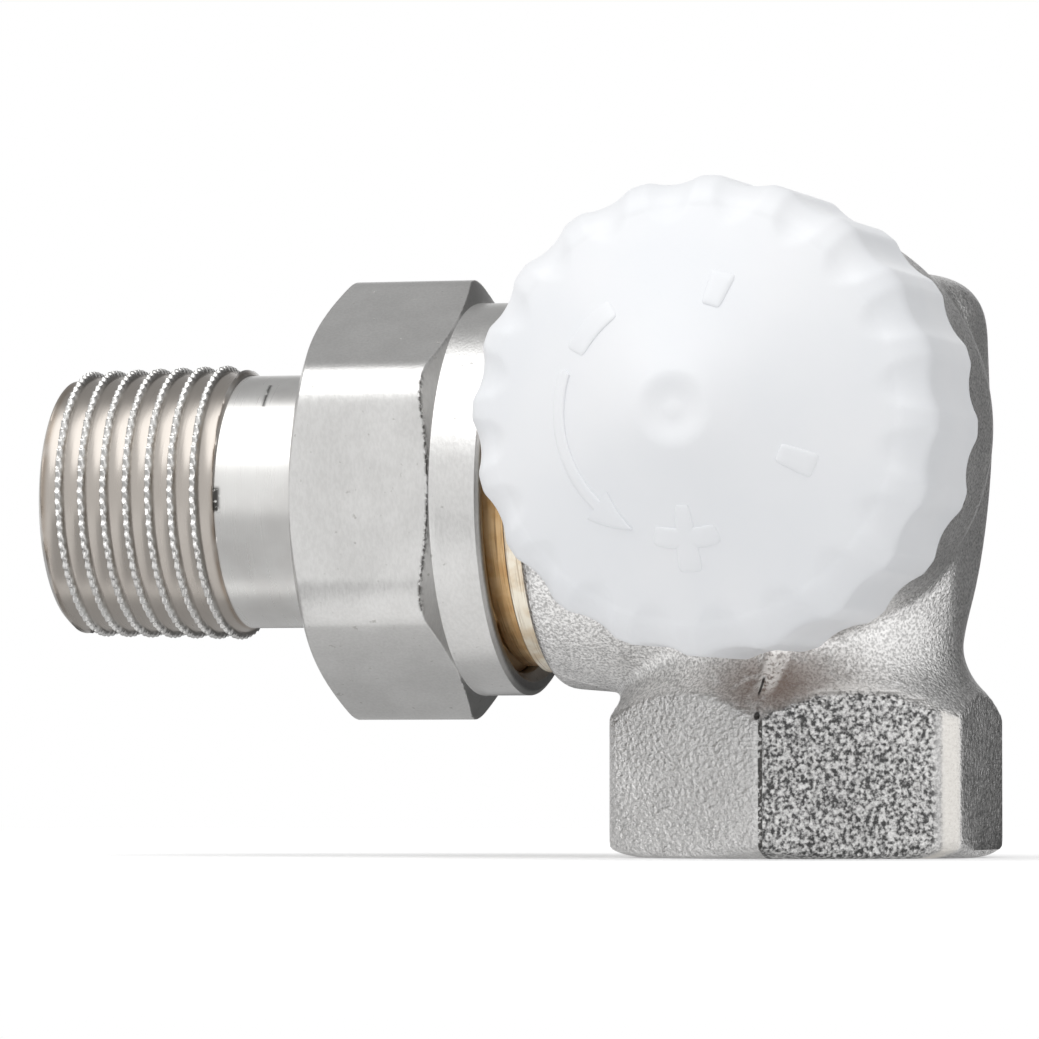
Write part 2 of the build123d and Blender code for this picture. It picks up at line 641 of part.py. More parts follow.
def disc_holder():
    """Shallow cup behind the valve disc."""
    return SPINDLE_AXIS * turned(
        (SPINDLE_THREAD_RADIUS + SEAL_CLEARANCE, HOLDER_BACK),
        (DISC_RADIUS + SEAL_CLEARANCE, HOLDER_BACK),
        (DISC_RADIUS + SEAL_CLEARANCE, HOLDER_BACK - HOLDER_RIM),
        (DISC_RADIUS + HOLDER_WALL, HOLDER_BACK - HOLDER_RIM),
        (DISC_RADIUS + HOLDER_WALL, HOLDER_FRONT),
        (SPINDLE_THREAD_RADIUS + SEAL_CLEARANCE, HOLDER_FRONT),
    )


def valve_disc():
    """Soft disc that closes on the seat's lip."""
    return SPINDLE_AXIS * sleeve(SPINDLE_THREAD_RADIUS + SEAL_CLEARANCE, DISC_RADIUS, DISC_FACE, HOLDER_BACK)


def disc_washer():
    """Washer that spreads the nut's force over the disc."""
    back = DISC_FACE - DISC_WASHER_THICKNESS
    return SPINDLE_AXIS * sleeve(SPINDLE_THREAD_RADIUS + SEAL_CLEARANCE, DISC_WASHER_RADIUS, back, DISC_FACE)


def disc_nut():
    """Hexagon nut on the spindle's thread stub."""
    front = DISC_NUT_BACK + DISC_NUT_HEIGHT
    bore = sleeve(0, SPINDLE_THREAD_RADIUS + SEAL_CLEARANCE, DISC_NUT_BACK, front)
    return SPINDLE_AXIS * (chamfered_hexagon(DISC_NUT_FLATS, DISC_NUT_BACK, front, NUT_CHAMFER_SLOPE) - bore)


PIECES = (
    valve_body,
    union_nut,
    tailpiece,
    protective_cap,
    bonnet,
    bonnet_o_ring,
    gland_nut,
    gland_outer_o_ring,
    gland_inner_o_ring,
    lower_o_ring,
    seal_backing_washer,
    return_spring,
    pressure_pin,
    spindle,
    spring_cup,
    spring_retaining_ring,
    disc_holder,
    valve_disc,
    disc_washer,
    disc_nut,
)

os.makedirs("parts", exist_ok=True)
for piece in PIECES:
    export_step(piece(), f"parts/{piece.__name__}.step")
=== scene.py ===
import json

import bpy
import numpy as np
from mathutils import Matrix, Vector


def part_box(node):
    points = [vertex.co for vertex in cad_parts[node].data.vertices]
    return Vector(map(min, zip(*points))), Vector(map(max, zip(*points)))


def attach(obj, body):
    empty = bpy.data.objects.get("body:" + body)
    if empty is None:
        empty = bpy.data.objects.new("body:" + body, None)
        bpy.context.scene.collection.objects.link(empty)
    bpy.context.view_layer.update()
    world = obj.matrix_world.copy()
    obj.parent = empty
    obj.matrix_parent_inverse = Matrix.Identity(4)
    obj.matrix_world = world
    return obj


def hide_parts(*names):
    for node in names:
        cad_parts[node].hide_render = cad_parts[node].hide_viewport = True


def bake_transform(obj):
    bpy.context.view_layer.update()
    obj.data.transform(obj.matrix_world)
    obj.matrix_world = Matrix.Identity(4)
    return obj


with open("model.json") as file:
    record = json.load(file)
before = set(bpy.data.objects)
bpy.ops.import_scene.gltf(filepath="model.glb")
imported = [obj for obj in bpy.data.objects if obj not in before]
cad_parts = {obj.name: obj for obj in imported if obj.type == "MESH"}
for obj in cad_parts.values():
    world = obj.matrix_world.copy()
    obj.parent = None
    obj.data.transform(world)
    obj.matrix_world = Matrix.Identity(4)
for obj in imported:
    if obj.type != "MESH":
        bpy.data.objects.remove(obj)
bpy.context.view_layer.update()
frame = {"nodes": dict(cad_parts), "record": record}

MM = 0.001
TURN = 2 * np.pi

# Axes of the body
TAIL_HEIGHT = 27.2
SPINDLE_HEIGHT = 31.8

# Casting: socket
SOCKET_FLATS = 27.0
SOCKET_ROUND = 2.0
FRONT_CORNER_ROUND = 0.7
SHOULDER_SUM = 25.8
SHOULDER_ROUND = 0.3
SHOULDER_LIMIT = 14
MOUTH_RADIUS = 13.0
MOUTH_SLOPE = 17.0
MOUTH_ROUND = 0.4
FOOT_ROUND = 0.3

# Casting: barrel, boss and neck
WAIST_RADIUS = 11.7
WAIST_BLEND = 0.8
BELLY_RADIUS = 14.1
BELLY_HEIGHT = 30.5
BELLY_ROUND = 40.0
BARREL_TOP = 43.7
BARREL_TOP_ROUND = 4.6
BARREL_TAPER = 0.049
CHEEK = 13.3
CHEEK_LEAN = 0.1
CHEEK_ROUND = 0.3
BOSS_ROOT = 12.1
BOSS_FLARE = 0.72
BOSS_RADIUS = 16.0
BOSS_BLEND = 2.0
BOSS_STEEPNESS = 0.9
BOSS_FRONT = 16.0
BOSS_FRONT_ROUND = 0.6
NECK_ROOT = 12.6
NECK_FLARE = 0.289
NECK_SWELL = 15.2
NECK_SWELL_PLACE = 9.0
NECK_DRAW = 0.0816
NECK_BLEND = 2.0
NECK_END = 18.8
NECK_END_ROUND = 1.2
INNER_END = 3
INNER_END_ROUND = 1.0
NECK_FILLET = 3.0
BOSS_FILLET = 0.9
SOCKET_FILLET = 1.6
SEAM_HEIGHT = 0.28
SEAM_WIDTH = 0.45
SEAM_FOOT = (10.4, 12.0)

# Casting: rings, and the bore above the socket
CAST_CENTRE = (0.0, 0.0, 20.0)
CAST_AROUND = 420
CAST_TALL = 215
POLE_ANGLE = 0.015
NEAREST = 3.0
FARTHEST = 45.0
HALVINGS = 34
MOUTH_LIP = 1.2
STOP_THICKNESS = 1.5
PORT_RADIUS = 4.5
PORT_RISE = 10
PORT_OFFSETS = (2.2, 4.8)

# Casting: bands of the finish, in degrees about the pipe axis: where each starts, is full, fades and ends
SPECKLED_FACE = (-89.2, -88.2, -37.5, -34.5)
SIDE_FACE = (-27.5, -26.0, 28.0, 30.0)
SIDE_SPECKLE = 0.6
POLISHED_CORNER = (-35.2, -33.8, -29.5, -27.5)
WORN_SIDE = (-80.0, -70.0, -38.0, -34.0)

# Casting: the flats' border, the worn edge, and brown painted shade in the recess under the boss
WORN_EDGE = -0.35
WORN_WIDTH = 0.45
FLAT_EDGE = (-0.25, 0.1)
RECESS_SHADE_ACROSS = 0.6
RECESS_SHADE_HEIGHT = 12.8
RECESS_SHADE_HALF_WIDTH = 4.4
RECESS_SHADE_HALF_HEIGHT = 2.4

# Casting: marks on its front corner
FRONT_FACE = (8, 9)
FRONT_RIDGE_FOOT = 12.4
FRONT_RIDGE_LEAN = 0.3
FRONT_RIDGE_TIGHTNESS = 0.9
FRONT_RIDGE_EDGE = 0.8
FRONT_RIDGE_BAND = (11.6, 13.0, 17, 18)
SLIT_TOP = 13.6
SLIT_LEAN = 0.1
SLIT_TIGHTNESS = 70
SLIT_BAND = (11.9, 12.3, 13.2, 13.6)
PIT_HEIGHT = 10.5
PIT_TIGHTNESS_ACROSS = 14
PIT_TIGHTNESS_UP = 7
CORNER_LINE = 0.28
CORNER_TIGHTNESS = 30
CORNER_TOP = (10.0, 10.5)
CRACK_EDGE = 0.6

# Threads
PIPE_PITCH = 1.814
PIPE_DEPTH = 1.162
PIPE_CORE = 9.3155
PIPE_LENGTH = 13.0
PIPE_LEAD = 1.0
PIPE_WALL_OVERLAP = 0.3
WATERWAY = 7.0
THREAD_ROUND = (0.08, 0.92)
THREAD_AROUND = 240
SOCKET_RINGS_PER_PITCH = 14
STUB_RINGS_PER_PITCH = 12
STUB_END_SHARE = 0.9
STUB_END_BLEND = 0.2

# Head thread on the boss
HEAD_PITCH = 1.5
HEAD_DEPTH = 0.92
HEAD_RADIUS = 15.0
HEAD_FACE = 24.5
HEAD_FACE_RADIUS = 13.8
HEAD_ROOT = 14.5
HEAD_ROOT_RADIUS = 14.0
HEAD_BORE = 11.0

# Union thread on the neck
UNION_RADIUS = 13.2205
UNION_START = 21.8
UNION_END = 31.5
UNION_LEAD = 0.05
UNION_ROOT = 17.5
UNION_COLLAR = 13.2
UNION_COLLAR_END = 20.0
UNION_COLLAR_EDGE = 0.1
UNION_GROOVE = 12.7
UNION_FACE_RADIUS = 11.4
UNION_SEAT = 23.88

# Return spring
SPRING_WIRE = 0.35
SPRING_RADIUS = 4.1
SPRING_TURNS = 4.5
SPRING_RINGS = 220
WIRE_SIDES = 14

# Union nut; its collar's edge as setbacks and radii, and its collar's root as places and rises
NUT_AROUND = 480
NUT_FLATS = 30.2
NUT_ROUND = 4.3
NUT_REAR = 25.3
NUT_FRONT = 36.1
NUT_REAR_CHAMFER = 22
NUT_FRONT_CHAMFER = 25
NUT_CONE_BLEND = 0.1
NUT_EDGE_BLEND = 0.12
NUT_CHAMFER_RUN = 1.6
NUT_CHAMFER_RINGS = 26
NUT_FLAT_RUN = (2.0, 5.2)
NUT_FLAT_RINGS = 8
NUT_FACE_RADIUS = 14.6
NUT_COLLAR = 14.95
NUT_COLLAR_END = 21.4
NUT_COLLAR_MOUTH = 13.97
NUT_COLLAR_EDGE = ((0, 14.5), (0.12, 14.72), (0.32, NUT_COLLAR), (0.5, NUT_COLLAR))
NUT_COLLAR_ROOT = ((24.6, 0), (25.1, 0), (25.22, 0.02))
NUT_COLLAR_LEAD = 0.7
NUT_BORE = 10.9
NUT_BORE_EDGE = 0.5
NUT_BORE_ROUND = 0.15
NUT_INNER_FACE = 33.6
NUT_THREAD_GAP = 0.05
NUT_LIP_SHADE = 0.85
EDGE_MARK_WIDTH = 0.3
EDGE_MARK_MARGIN = 0.2
EDGE_MARK_SIDE = (0.5, 0.62)

# Tailpiece
TAIL_REACH = 58.0
TAIL_CREST = 10.62
TAIL_TAPER = 0.0265
TAIL_DEPTH = 0.95
TAIL_RINGS_PER_PITCH = 20
TAIL_CREASE = 60.0
THREAD_START = 43.8
TAIL_RIDGE_SIDES = (0.56, 0.86)
VALLEY_RISE = 0.66
VALLEY_START = 0.2
VALLEY_SHADE = (0.05, 0.6)
NOTCHES = 76
NOTCH_STEPS = 6
CHEVRON = 0.6
TOOTH_DEPTH = 0.38
TOOTH_SIDES = (0.68, 0.9)
LEAD_STEP = 0.05
LEAD_SLOPE = 1.2
END_DROP = 0.85
END_FACE_RADIUS = 9.3
TAIL_BORE_EDGE = 0.5
TAIL_BORE_RING = 40.0
SHANK_RADIUS = 9.7
SHANK_SHOWN = 40.3
SHANK_STEP = 0.12
NOSE_CENTRE = 33.86
NOSE_RADIUS = 11
NOSE_ARC = (39.5, 81)
NOSE_RINGS = 12
TAIL_COLLAR = 12.2
TAIL_COLLAR_START = 32.2
SCRATCH_PLACE = 40.95
SCRATCH_SIDE = 55
SCRATCH_REACH = 9
SCRATCH_LEAN = 0.012
SCRATCH_WIDTH = 0.12
DENT_PLACE = 43.65
DENT_WIDTH = 0.3
DENT_SIDE = -1
DENT_REACH = 6.5
DENT_FADE = 2
START_STAIN = 43.95
START_STAIN_WIDTH = 0.16
END_STAIN = 57.6
END_STAIN_WIDTH = 0.22
END_STAIN_SHARE = 0.8

# Hand cap
CAP_RADIUS = 17.2
CAP_RIM = 17.5
CAP_RIM_ROUND = 0.4
CAP_RIM_MIDDLE = (0.12, 0.1)
CAP_SHOULDER = 32.4
CAP_SHOULDER_ROUND = 4.0
CAP_SHOULDER_SLOPE = 27.0
CAP_KNEE = 9.5
CAP_KNEE_BLEND = 0.8
CAP_TIP_SLOPE = 23.6
CAP_TIP_ROUND = 1.8
CAP_TIP_SHIFT = 0.107
DIMPLE_DEPTH = 0.8
DIMPLE_WALL = (0.6, 2.9)
CAP_PAD = 37.22
CAP_PAD_RADIUS = 3.2
CAP_PAD_HEIGHT = 0.4
CAP_ROOF = 2.245
CAP_BORE = 15.05
CAP_BORE_MOUTH = 15.4
CAP_POLE_RADIUS = 0.1
CAP_RING_STEP = 0.2
SKIRT_RINGS = 14
SHOULDER_RINGS = 22
CROWN_INNER = 4.0
CROWN_RINGS = 52
TIP_RINGS = 30
FLUTES = 20
FLUTE_STEPS = 22
FLUTE_START = 7.0
FLUTE_RADIUS = 4.0
FLUTE_DEPTH = 0.5
FLUTE_EDGE = 0.16
FLUTE_RUNOUT = 0.32
FLUTE_LIFT = 0.1
FLUTE_LIFT_LEAN = (0.5, 1.1)

# Signs on the cap: sizes as length and width, and angles in degrees
MARK_RADIUS = 9.0
MARK_HEIGHT = 0.19
MARK_FOOT = -0.5
MARK_AROUND = 96
MARK_TOP_RINGS = 14
MARK_MIDDLE = 0.02
MARK_SQUARENESS = 8
PLUS_SIZE = (4.7, 1.45)
PLUS_ANGLE = -88.4
MINUS_SIZE = (4.2, 1.6)
MINUS_ANGLE = 138.1
TICK_SIZE = (1.6, 2.6)
TICK_ANGLES = {"tick_right": -22.9, "tick_top": 73.6}
ARROW_START = 162.0
ARROW_NECK = 226.5
ARROW_TIP = 246.0
ARROW_SHIFT = 0.1
ARROW_SHAFT_HALF = 0.46
ARROW_SHAFT_RINGS = 60
ARROW_HEAD_HALF = 1.3
ARROW_HEAD_RINGS = 18
ARROW_POINT = 0.04
ARROW_TOP_POINTS = 13
ARROW_BUTT_HALF = 0.05
ARROW_BUTT_TURN = 0.03


# Plain maths on arrays
def soft_max(a, b, blend):
    """The larger of two values, rounded over a band of width blend where they are nearly equal."""
    share = np.clip(0.5 + 0.5 * (a - b) / blend, 0, 1)
    return b + (a - b) * share + blend * share * (1 - share)


def soft_min(a, b, blend):
    """The smaller of two values, rounded in the same way."""
    return -soft_max(-a, -b, blend)


def ease(value, low, high):
    """Cubic step from 0 at low to 1 at high."""
    share = np.clip((value - low) / (high - low), 0, 1)
    return share * share * (3 - 2 * share)


def band(value, start, full, fade, end):
    """Cubic steps from 0 at start to 1 at full, and from 1 at fade to 0 at end."""
    return ease(value, start, full) * (1 - ease(value, fade, end))


def bell(distance, width):
    """Bell curve: 1 at no distance, falling off over the width."""
    return np.exp(-((distance / width) ** 2))


def tan_of(degrees):
    """Tangent of an angle in degrees."""
    return np.tan(np.radians(degrees))


def angles(count):
    """Equal angles round a full turn."""
    return np.arange(count) * TURN / count


# Places about the three axes
def about_pipe(height, radius, angle):
    """Point at a height, radius and angle about the pipe axis."""
    return np.stack(np.broadcast_arrays(radius * np.cos(angle), radius * np.sin(angle), height), -1)


def about_tail(along, radius, angle):
    """Point at a distance along the tail axis; angle 0 faces the front and a quarter turn faces up."""
    across = TAIL_HEIGHT + radius * np.sin(angle)
    return np.stack(np.broadcast_arrays(-along, -radius * np.cos(angle), across), -1)


def about_spindle(along, radius, angle):
    """Point at a distance along the spindle axis; the angle counts from +X, anticlockwise from the front."""
    across = SPINDLE_HEIGHT + radius * np.sin(angle)
    return np.stack(np.broadcast_arrays(radius * np.cos(angle), -along, across), -1)


# Meshes
def skin(name, rows, body, finish, node=None, loop=False, masks=None, crease=38.0):
    """Mesh over rings of points.

    rows[i, j] is point j of ring i, in millimetres. A ring closes on itself, and quads join it to the next
    ring. With loop, the last ring joins the first; otherwise a fan to the middle of each end ring closes it.
    """
    count, around = rows.shape[:2]
    ids = np.arange(count * around).reshape(count, around)
    here, after = (ids, np.roll(ids, -1, 0)) if loop else (ids[:-1], ids[1:])
    quads = np.stack([here, np.roll(here, -1, 1), np.roll(after, -1, 1), after], -1).reshape(-1, 4)
    points = rows.reshape(-1, 3)
    fans = np.empty((0, 3), int)
    if not loop:
        start, end = np.full(around, count * around), np.full(around, count * around + 1)
        fans = np.concatenate([
            np.stack([start, np.roll(ids[0], -1), ids[0]], -1),
            np.stack([end, ids[-1], np.roll(ids[-1], -1)], -1),
        ])
        points = np.concatenate([points, rows[[0, -1]].mean(1)])
    triangles = np.concatenate([quads[:, :3], quads[:, [0, 2, 3]], fans])
    a, b, c = (points[triangles[:, k]] for k in range(3))
    if np.einsum("ij,ij->i", a, np.cross(b, c)).sum() < 0:
        quads, fans = quads[:, ::-1], fans[:, ::-1]
    mesh = bpy.data.meshes.new(name)
    mesh.vertices.add(len(points))
    mesh.vertices.foreach_set("co", (points * MM).astype(np.float32).ravel())
    corners = np.concatenate([quads.ravel(), fans.ravel()]).astype(np.int32)
    starts = np.concatenate([np.arange(len(quads)) * 4, len(quads) * 4 + np.arange(len(fans)) * 3])
    mesh.loops.add(len(corners))
    mesh.loops.foreach_set("vertex_index", corners)
    mesh.polygons.add(len(starts))
    mesh.polygons.foreach_set("loop_start", starts.astype(np.int32))
    mesh.update(calc_edges=True)
    mesh.shade_smooth()
    mesh.set_sharp_from_angle(angle=np.radians(crease))
    for mask, values in (masks or {}).items():
        ends = np.zeros(len(points) - count * around)
        attribute = mesh.attributes.new(mask, "FLOAT", "POINT")
        attribute.data.foreach_set("value", np.concatenate([values.ravel(), ends]).astype(np.float32))
    mesh.materials.append(finish)
    made = bpy.data.objects.new(name, mesh)
    bpy.context.scene.collection.objects.link(made)
    if body:
        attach(made, body)
    if node:
        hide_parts(node)
    return made


# Shader maths
class Line:
    """A socket's output that takes part in plain arithmetic."""

    def __init__(self, finish, socket):
        self.finish = finish
        self.socket = socket

    def maths(self, operation, first, second=0.0):
        return self.finish.node("ShaderNodeMath", {"operation": operation}, {0: first, 1: second})

    def __add__(self, other):
        return self.maths("ADD", self, other)

    def __radd__(self, other):
        return self.maths("ADD", other, self)

    def __sub__(self, other):
        return self.maths("SUBTRACT", self, other)

    def __rsub__(self, other):
        return self.maths("SUBTRACT", other, self)

    def __mul__(self, other):
        return self.maths("MULTIPLY", self, other)

    def __rmul__(self, other):
        return self.maths("MULTIPLY", other, self)

    def step(self, low, high):
        """Smooth step from 0 at low to 1 at high."""
        return self.finish.node(
            "ShaderNodeMapRange", {"interpolation_type": "SMOOTHSTEP"}, {"Value": self, 1: low, 2: high}
        )

    def band(self, start, full, fade, end):
        """Smooth steps from 0 at start to 1 at full, and from 1 at fade to 0 at end."""
        return self.step(start, full) * (1 - self.step(fade, end))

    def stripe(self, tightness, edge):
        """Soft stripe where this distance is near 0: a smooth step of 1 less its square times tightness."""
        return (1 - self * self * tightness).step(0.0, edge)


class Finish:
    """A material or world with its nodes."""

    def __init__(self, owner):
        self.owner = owner
        owner.use_nodes = True
        self.tree = owner.node_tree
        self.tree.nodes.clear()

    def node(self, kind, settings=None, inputs=None, output=0):
        """New node of a kind: settings first, then each input's value or link; gives one output."""
        made = self.tree.nodes.new(kind)
        for key, value in (settings or {}).items():
            setattr(made, key, value)
        for key, value in (inputs or {}).items():
            if isinstance(value, Line):
                self.tree.links.new(value.socket, made.inputs[key])
            else:
                made.inputs[key].default_value = value
        return Line(self, made.outputs[output]) if len(made.outputs) else None

    def place(self):
        """Place on the object, in metres."""
        return self.node("ShaderNodeTexCoord", output="Object")

    def axis(self, name):
        """One coordinate on the object, in millimetres."""
        return self.node("ShaderNodeSeparateXYZ", {}, {"Vector": self.place()}, name) * (1 / MM)

    def noise(self, size_mm, detail=2.0, stretch=(1.0, 1.0, 1.0)):
        """Noise with spots of about size_mm, drawn out along an axis where stretch is below 1."""
        where = self.node("ShaderNodeMapping", {}, {"Vector": self.place(), "Scale": stretch})
        return self.node(
            "ShaderNodeTexNoise", {}, {"Vector": where, "Scale": 1 / (size_mm * MM), "Detail": detail}, "Fac"
        )

    def mask(self, name):
        """A value stored on the mesh."""
        return self.node("ShaderNodeAttribute", {"attribute_name": name}, output="Fac")

    def mix(self, share, first, second):
        """Colour between two colours."""
        return self.node("ShaderNodeMix", {"data_type": "RGBA"}, {"Factor": share, 6: first, 7: second}, 2)

    def bump(self, height, depth_mm, strength=1.0):
        """Normal that a height from 0 to 1 gives when it stands depth_mm high."""
        inputs = {"Height": height, "Distance": depth_mm * MM, "Strength": strength}
        return self.node("ShaderNodeBump", {}, inputs)

    def surface(self, **inputs):
        """Main shader with its inputs by name, joined to the output."""
        named = {key.replace("_", " ").title(): value for key, value in inputs.items()}
        shader = self.node("ShaderNodeBsdfPrincipled", {}, named)
        self.node("ShaderNodeOutputMaterial", {}, {"Surface": shader})
        return self.owner


def colour(red, green, blue):
    """Opaque linear colour."""
    return (red, green, blue, 1.0)


def new_finish(name):
    """Finish on a new material."""
    return Finish(bpy.data.materials.new(name))


# Finishes
def cast_nickel():
    """Plated casting: blasted grain, dark specks on rough faces, bright worn corners, brown painted shade
    under the boss, and cracks.
    """
    shade = colour(0.42, 0.415, 0.41)
    silver = colour(0.98, 0.97, 0.96)
    speck_grey = colour(0.05, 0.05, 0.05)
    polished = colour(0.80, 0.765, 0.71)
    stain_brown = colour(0.25, 0.175, 0.14)
    worn_silver = colour(0.95, 0.93, 0.91)
    crack_black = colour(0.03, 0.028, 0.025)
    f = new_finish("cast_nickel")
    flat = f.mask("flat")
    speckle = f.mask("speckle")
    polish = f.mask("polish")
    fine = f.noise(0.19, detail=3.0)
    coarse = f.noise(0.44, detail=3.0, stretch=(1.0, 1.0, 1.4))
    clouds = f.noise(4.0)
    specks = f.noise(0.31, detail=4.0)
    # The mask named stain is brown painted shade in the recess between the socket and the boss.
    stain = f.mask("stain") * f.noise(1.2, detail=3.0).step(0.2, 0.5)
    x, y, z = f.axis("X"), f.axis("Y"), f.axis("Z")
    front = (-1 * y).step(*FRONT_FACE)
    off_ridge = x - FRONT_RIDGE_LEAN * (z - FRONT_RIDGE_FOOT)
    ridge = off_ridge.stripe(FRONT_RIDGE_TIGHTNESS, FRONT_RIDGE_EDGE) * z.band(*FRONT_RIDGE_BAND) * front
    ridge = ridge * specks.step(0.3, 0.55)
    off_slit = x - SLIT_LEAN * (z - SLIT_TOP)
    slit = off_slit.stripe(SLIT_TIGHTNESS, CRACK_EDGE) * z.band(*SLIT_BAND)
    up = z - PIT_HEIGHT
    pit = (1 - x * x * PIT_TIGHTNESS_ACROSS - up * up * PIT_TIGHTNESS_UP).step(0.0, CRACK_EDGE)
    off_corner = x - CORNER_LINE
    corner = off_corner.stripe(CORNER_TIGHTNESS, CRACK_EDGE) * (1 - z.step(*CORNER_TOP))
    corner = corner * specks.step(0.4, 0.5)
    crack = (slit + pit + corner) * front
    rough = fine.step(0.36, 0.62) * 0.7 + coarse.step(0.35, 0.65) * 0.15
    tone = rough * (1 - 0.6 * flat) + clouds.step(0.3, 0.7) * 0.15 + 0.12 * flat + 0.2 * speckle
    base = f.mix(tone, shade, silver)
    base = f.mix((1 - specks.step(0.36, 0.64)) * speckle * 0.95, base, speck_grey)
    base = f.mix(polish * 0.6, base, polished)
    # Brown painted shade in the recess under the boss, coloured with stain_brown.
    base = f.mix(stain * 0.8, base, stain_brown)
    bright = (ridge + f.mask("worn") * specks.step(0.35, 0.5)) * 0.9
    base = f.mix(bright, base, worn_silver)
    base = f.mix(crack * 0.9, base, crack_black)
    relief = coarse * (0.5 + 1.2 * flat) + fine * 0.25 + specks * 0.5 * speckle
    height = relief * (1 - polish * 0.8) + ridge * 0.4 - slit
    return f.surface(
        base_color=base,
        metallic=1.0,
        roughness=0.29 + 0.12 * fine - 0.06 * polish,
        normal=f.bump(height, depth_mm=0.21),
    )


def satin_nickel():
    """Plated and brushed nut: fine grain, small pits, slightly darker drifts, dark edges, and painted shade
    on the collar's end face in the gap to the casting.
    """
    shade = colour(0.58, 0.575, 0.565)
    silver = colour(0.68, 0.675, 0.665)
    pit_grey = colour(0.34, 0.33, 0.31)
    edge_black = colour(0.05, 0.045, 0.04)
    lip_shade_dark = colour(0.10, 0.095, 0.09)
    lip_shade_grey = colour(0.32, 0.31, 0.30)
    f = new_finish("satin_nickel")
    grain = f.noise(0.22, detail=3.0, stretch=(1.0, 1.0, 0.5))
    drift = f.noise(5.0)
    pit = f.noise(0.6).step(0.68, 0.78)
    edge = f.mask("edge") * f.noise(0.35, detail=3.0).step(0.42, 0.58)
    tone = drift.step(0.35, 0.65) * 0.5 + grain.step(0.3, 0.7) * 0.5
    base = f.mix(tone, shade, silver)
    base = f.mix(pit * 0.5, base, pit_grey)
    base = f.mix(edge * 0.9, base, edge_black)
    # Painted shade: the collar's end face, in the gap before the brass collar, is darkened as if in shadow.
    base = f.mix(f.mask("shaded_lip"), base, f.mix(grain, lip_shade_dark, lip_shade_grey))
    return f.surface(
        base_color=base,
        metallic=1.0,
        roughness=0.27 + 0.08 * grain + 0.2 * pit,
        normal=f.bump(grain - pit * 0.5, depth_mm=0.03, strength=0.5),
    )


def turned_nickel():
    """Plated tail: turning lines round the axis, warm drifts, valleys darkened by dirt and painted shade,
    brown ends and black marks.
    """
    shade = colour(0.66, 0.65, 0.635)
    silver = colour(0.73, 0.725, 0.71)
    valley_dirt_and_shade = colour(0.38, 0.34, 0.30)
    stain_brown = colour(0.24, 0.18, 0.13)
    mark_black = colour(0.03, 0.028, 0.025)
    f = new_finish("turned_nickel")
    lines = f.noise(0.12, stretch=(1.0, 0.02, 0.02))
    drift = f.noise(3.0)
    base = f.mix(drift.step(0.3, 0.7), shade, silver)
    # Darker valleys: partly dirt, partly painted shade where the thread's flanks shade each other.
    base = f.mix(f.mask("groove_dirt_and_shade") * 0.8, base, valley_dirt_and_shade)
    base = f.mix(f.mask("runout") * drift.step(0.3, 0.6) * 0.7, base, stain_brown)
    mark = f.mask("mark") * f.noise(0.35).step(0.32, 0.46)
    base = f.mix(mark * 0.95, base, mark_black)
    return f.surface(
        base_color=base,
        metallic=1.0,
        roughness=0.24 + 0.1 * lines,
        normal=f.bump(lines, depth_mm=0.012, strength=0.6),
    )


def bare_brass():
    """Turned brass with darker streaks round the axis, and a paler collar."""
    brown = colour(0.60, 0.37, 0.17)
    gold = colour(0.72, 0.50, 0.27)
    collar_shade = colour(0.72, 0.60, 0.44)
    collar_pale = colour(0.88, 0.82, 0.70)
    streak_brown = colour(0.20, 0.11, 0.05)
    f = new_finish("bare_brass")
    lines = f.noise(0.15, stretch=(1.0, 0.03, 0.03))
    drift = f.noise(1.6, detail=3.0)
    base = f.mix(drift.step(0.35, 0.7), brown, gold)
    base = f.mix(f.mask("collar"), base, f.mix(drift.step(0.3, 0.6), collar_shade, collar_pale))
    base = f.mix(lines.step(0.5, 0.75) * 0.6, base, streak_brown)
    return f.surface(
        base_color=base,
        metallic=1.0,
        roughness=0.30 + 0.15 * lines,
        normal=f.bump(lines, depth_mm=0.02, strength=0.6),
    )


def white_plastic():
    """Moulded plastic, cool white, with a faint moulding grain."""
    cool = colour(0.83, 0.845, 0.87)
    white = colour(0.86, 0.87, 0.89)
    f = new_finish("white_plastic")
    grain = f.noise(0.25)
    drift = f.noise(9.0)
    return f.surface(
        base_color=f.mix(drift.step(0.3, 0.7), cool, white),
        roughness=0.36 + 0.08 * grain,
        normal=f.bump(grain, depth_mm=0.006, strength=0.5),
    )


def ground_steel():
    """Ground steel with fine lines across the spindle axis."""
    dark = colour(0.50, 0.50, 0.51)
    pale = colour(0.66, 0.66, 0.67)
    f = new_finish("ground_steel")
    lines = f.noise(0.1, stretch=(0.03, 1.0, 0.03))
    return f.surface(
        base_color=f.mix(lines, dark, pale),
        metallic=1.0,
        roughness=0.22 + 0.12 * lines,
        normal=f.bump(lines, depth_mm=0.01, strength=0.5),
    )


def black_rubber():
    """Moulded seal rubber, matt black with a fine bloom."""
    black = colour(0.020, 0.020, 0.021)
    bloom_grey = colour(0.045, 0.045, 0.047)
    f = new_finish("black_rubber")
    bloom = f.noise(0.4, detail=3.0)
    return f.surface(
        base_color=f.mix(bloom.step(0.4, 0.8), black, bloom_grey),
        roughness=0.55 + 0.2 * bloom,
        normal=f.bump(bloom, depth_mm=0.01, strength=0.4),
    )


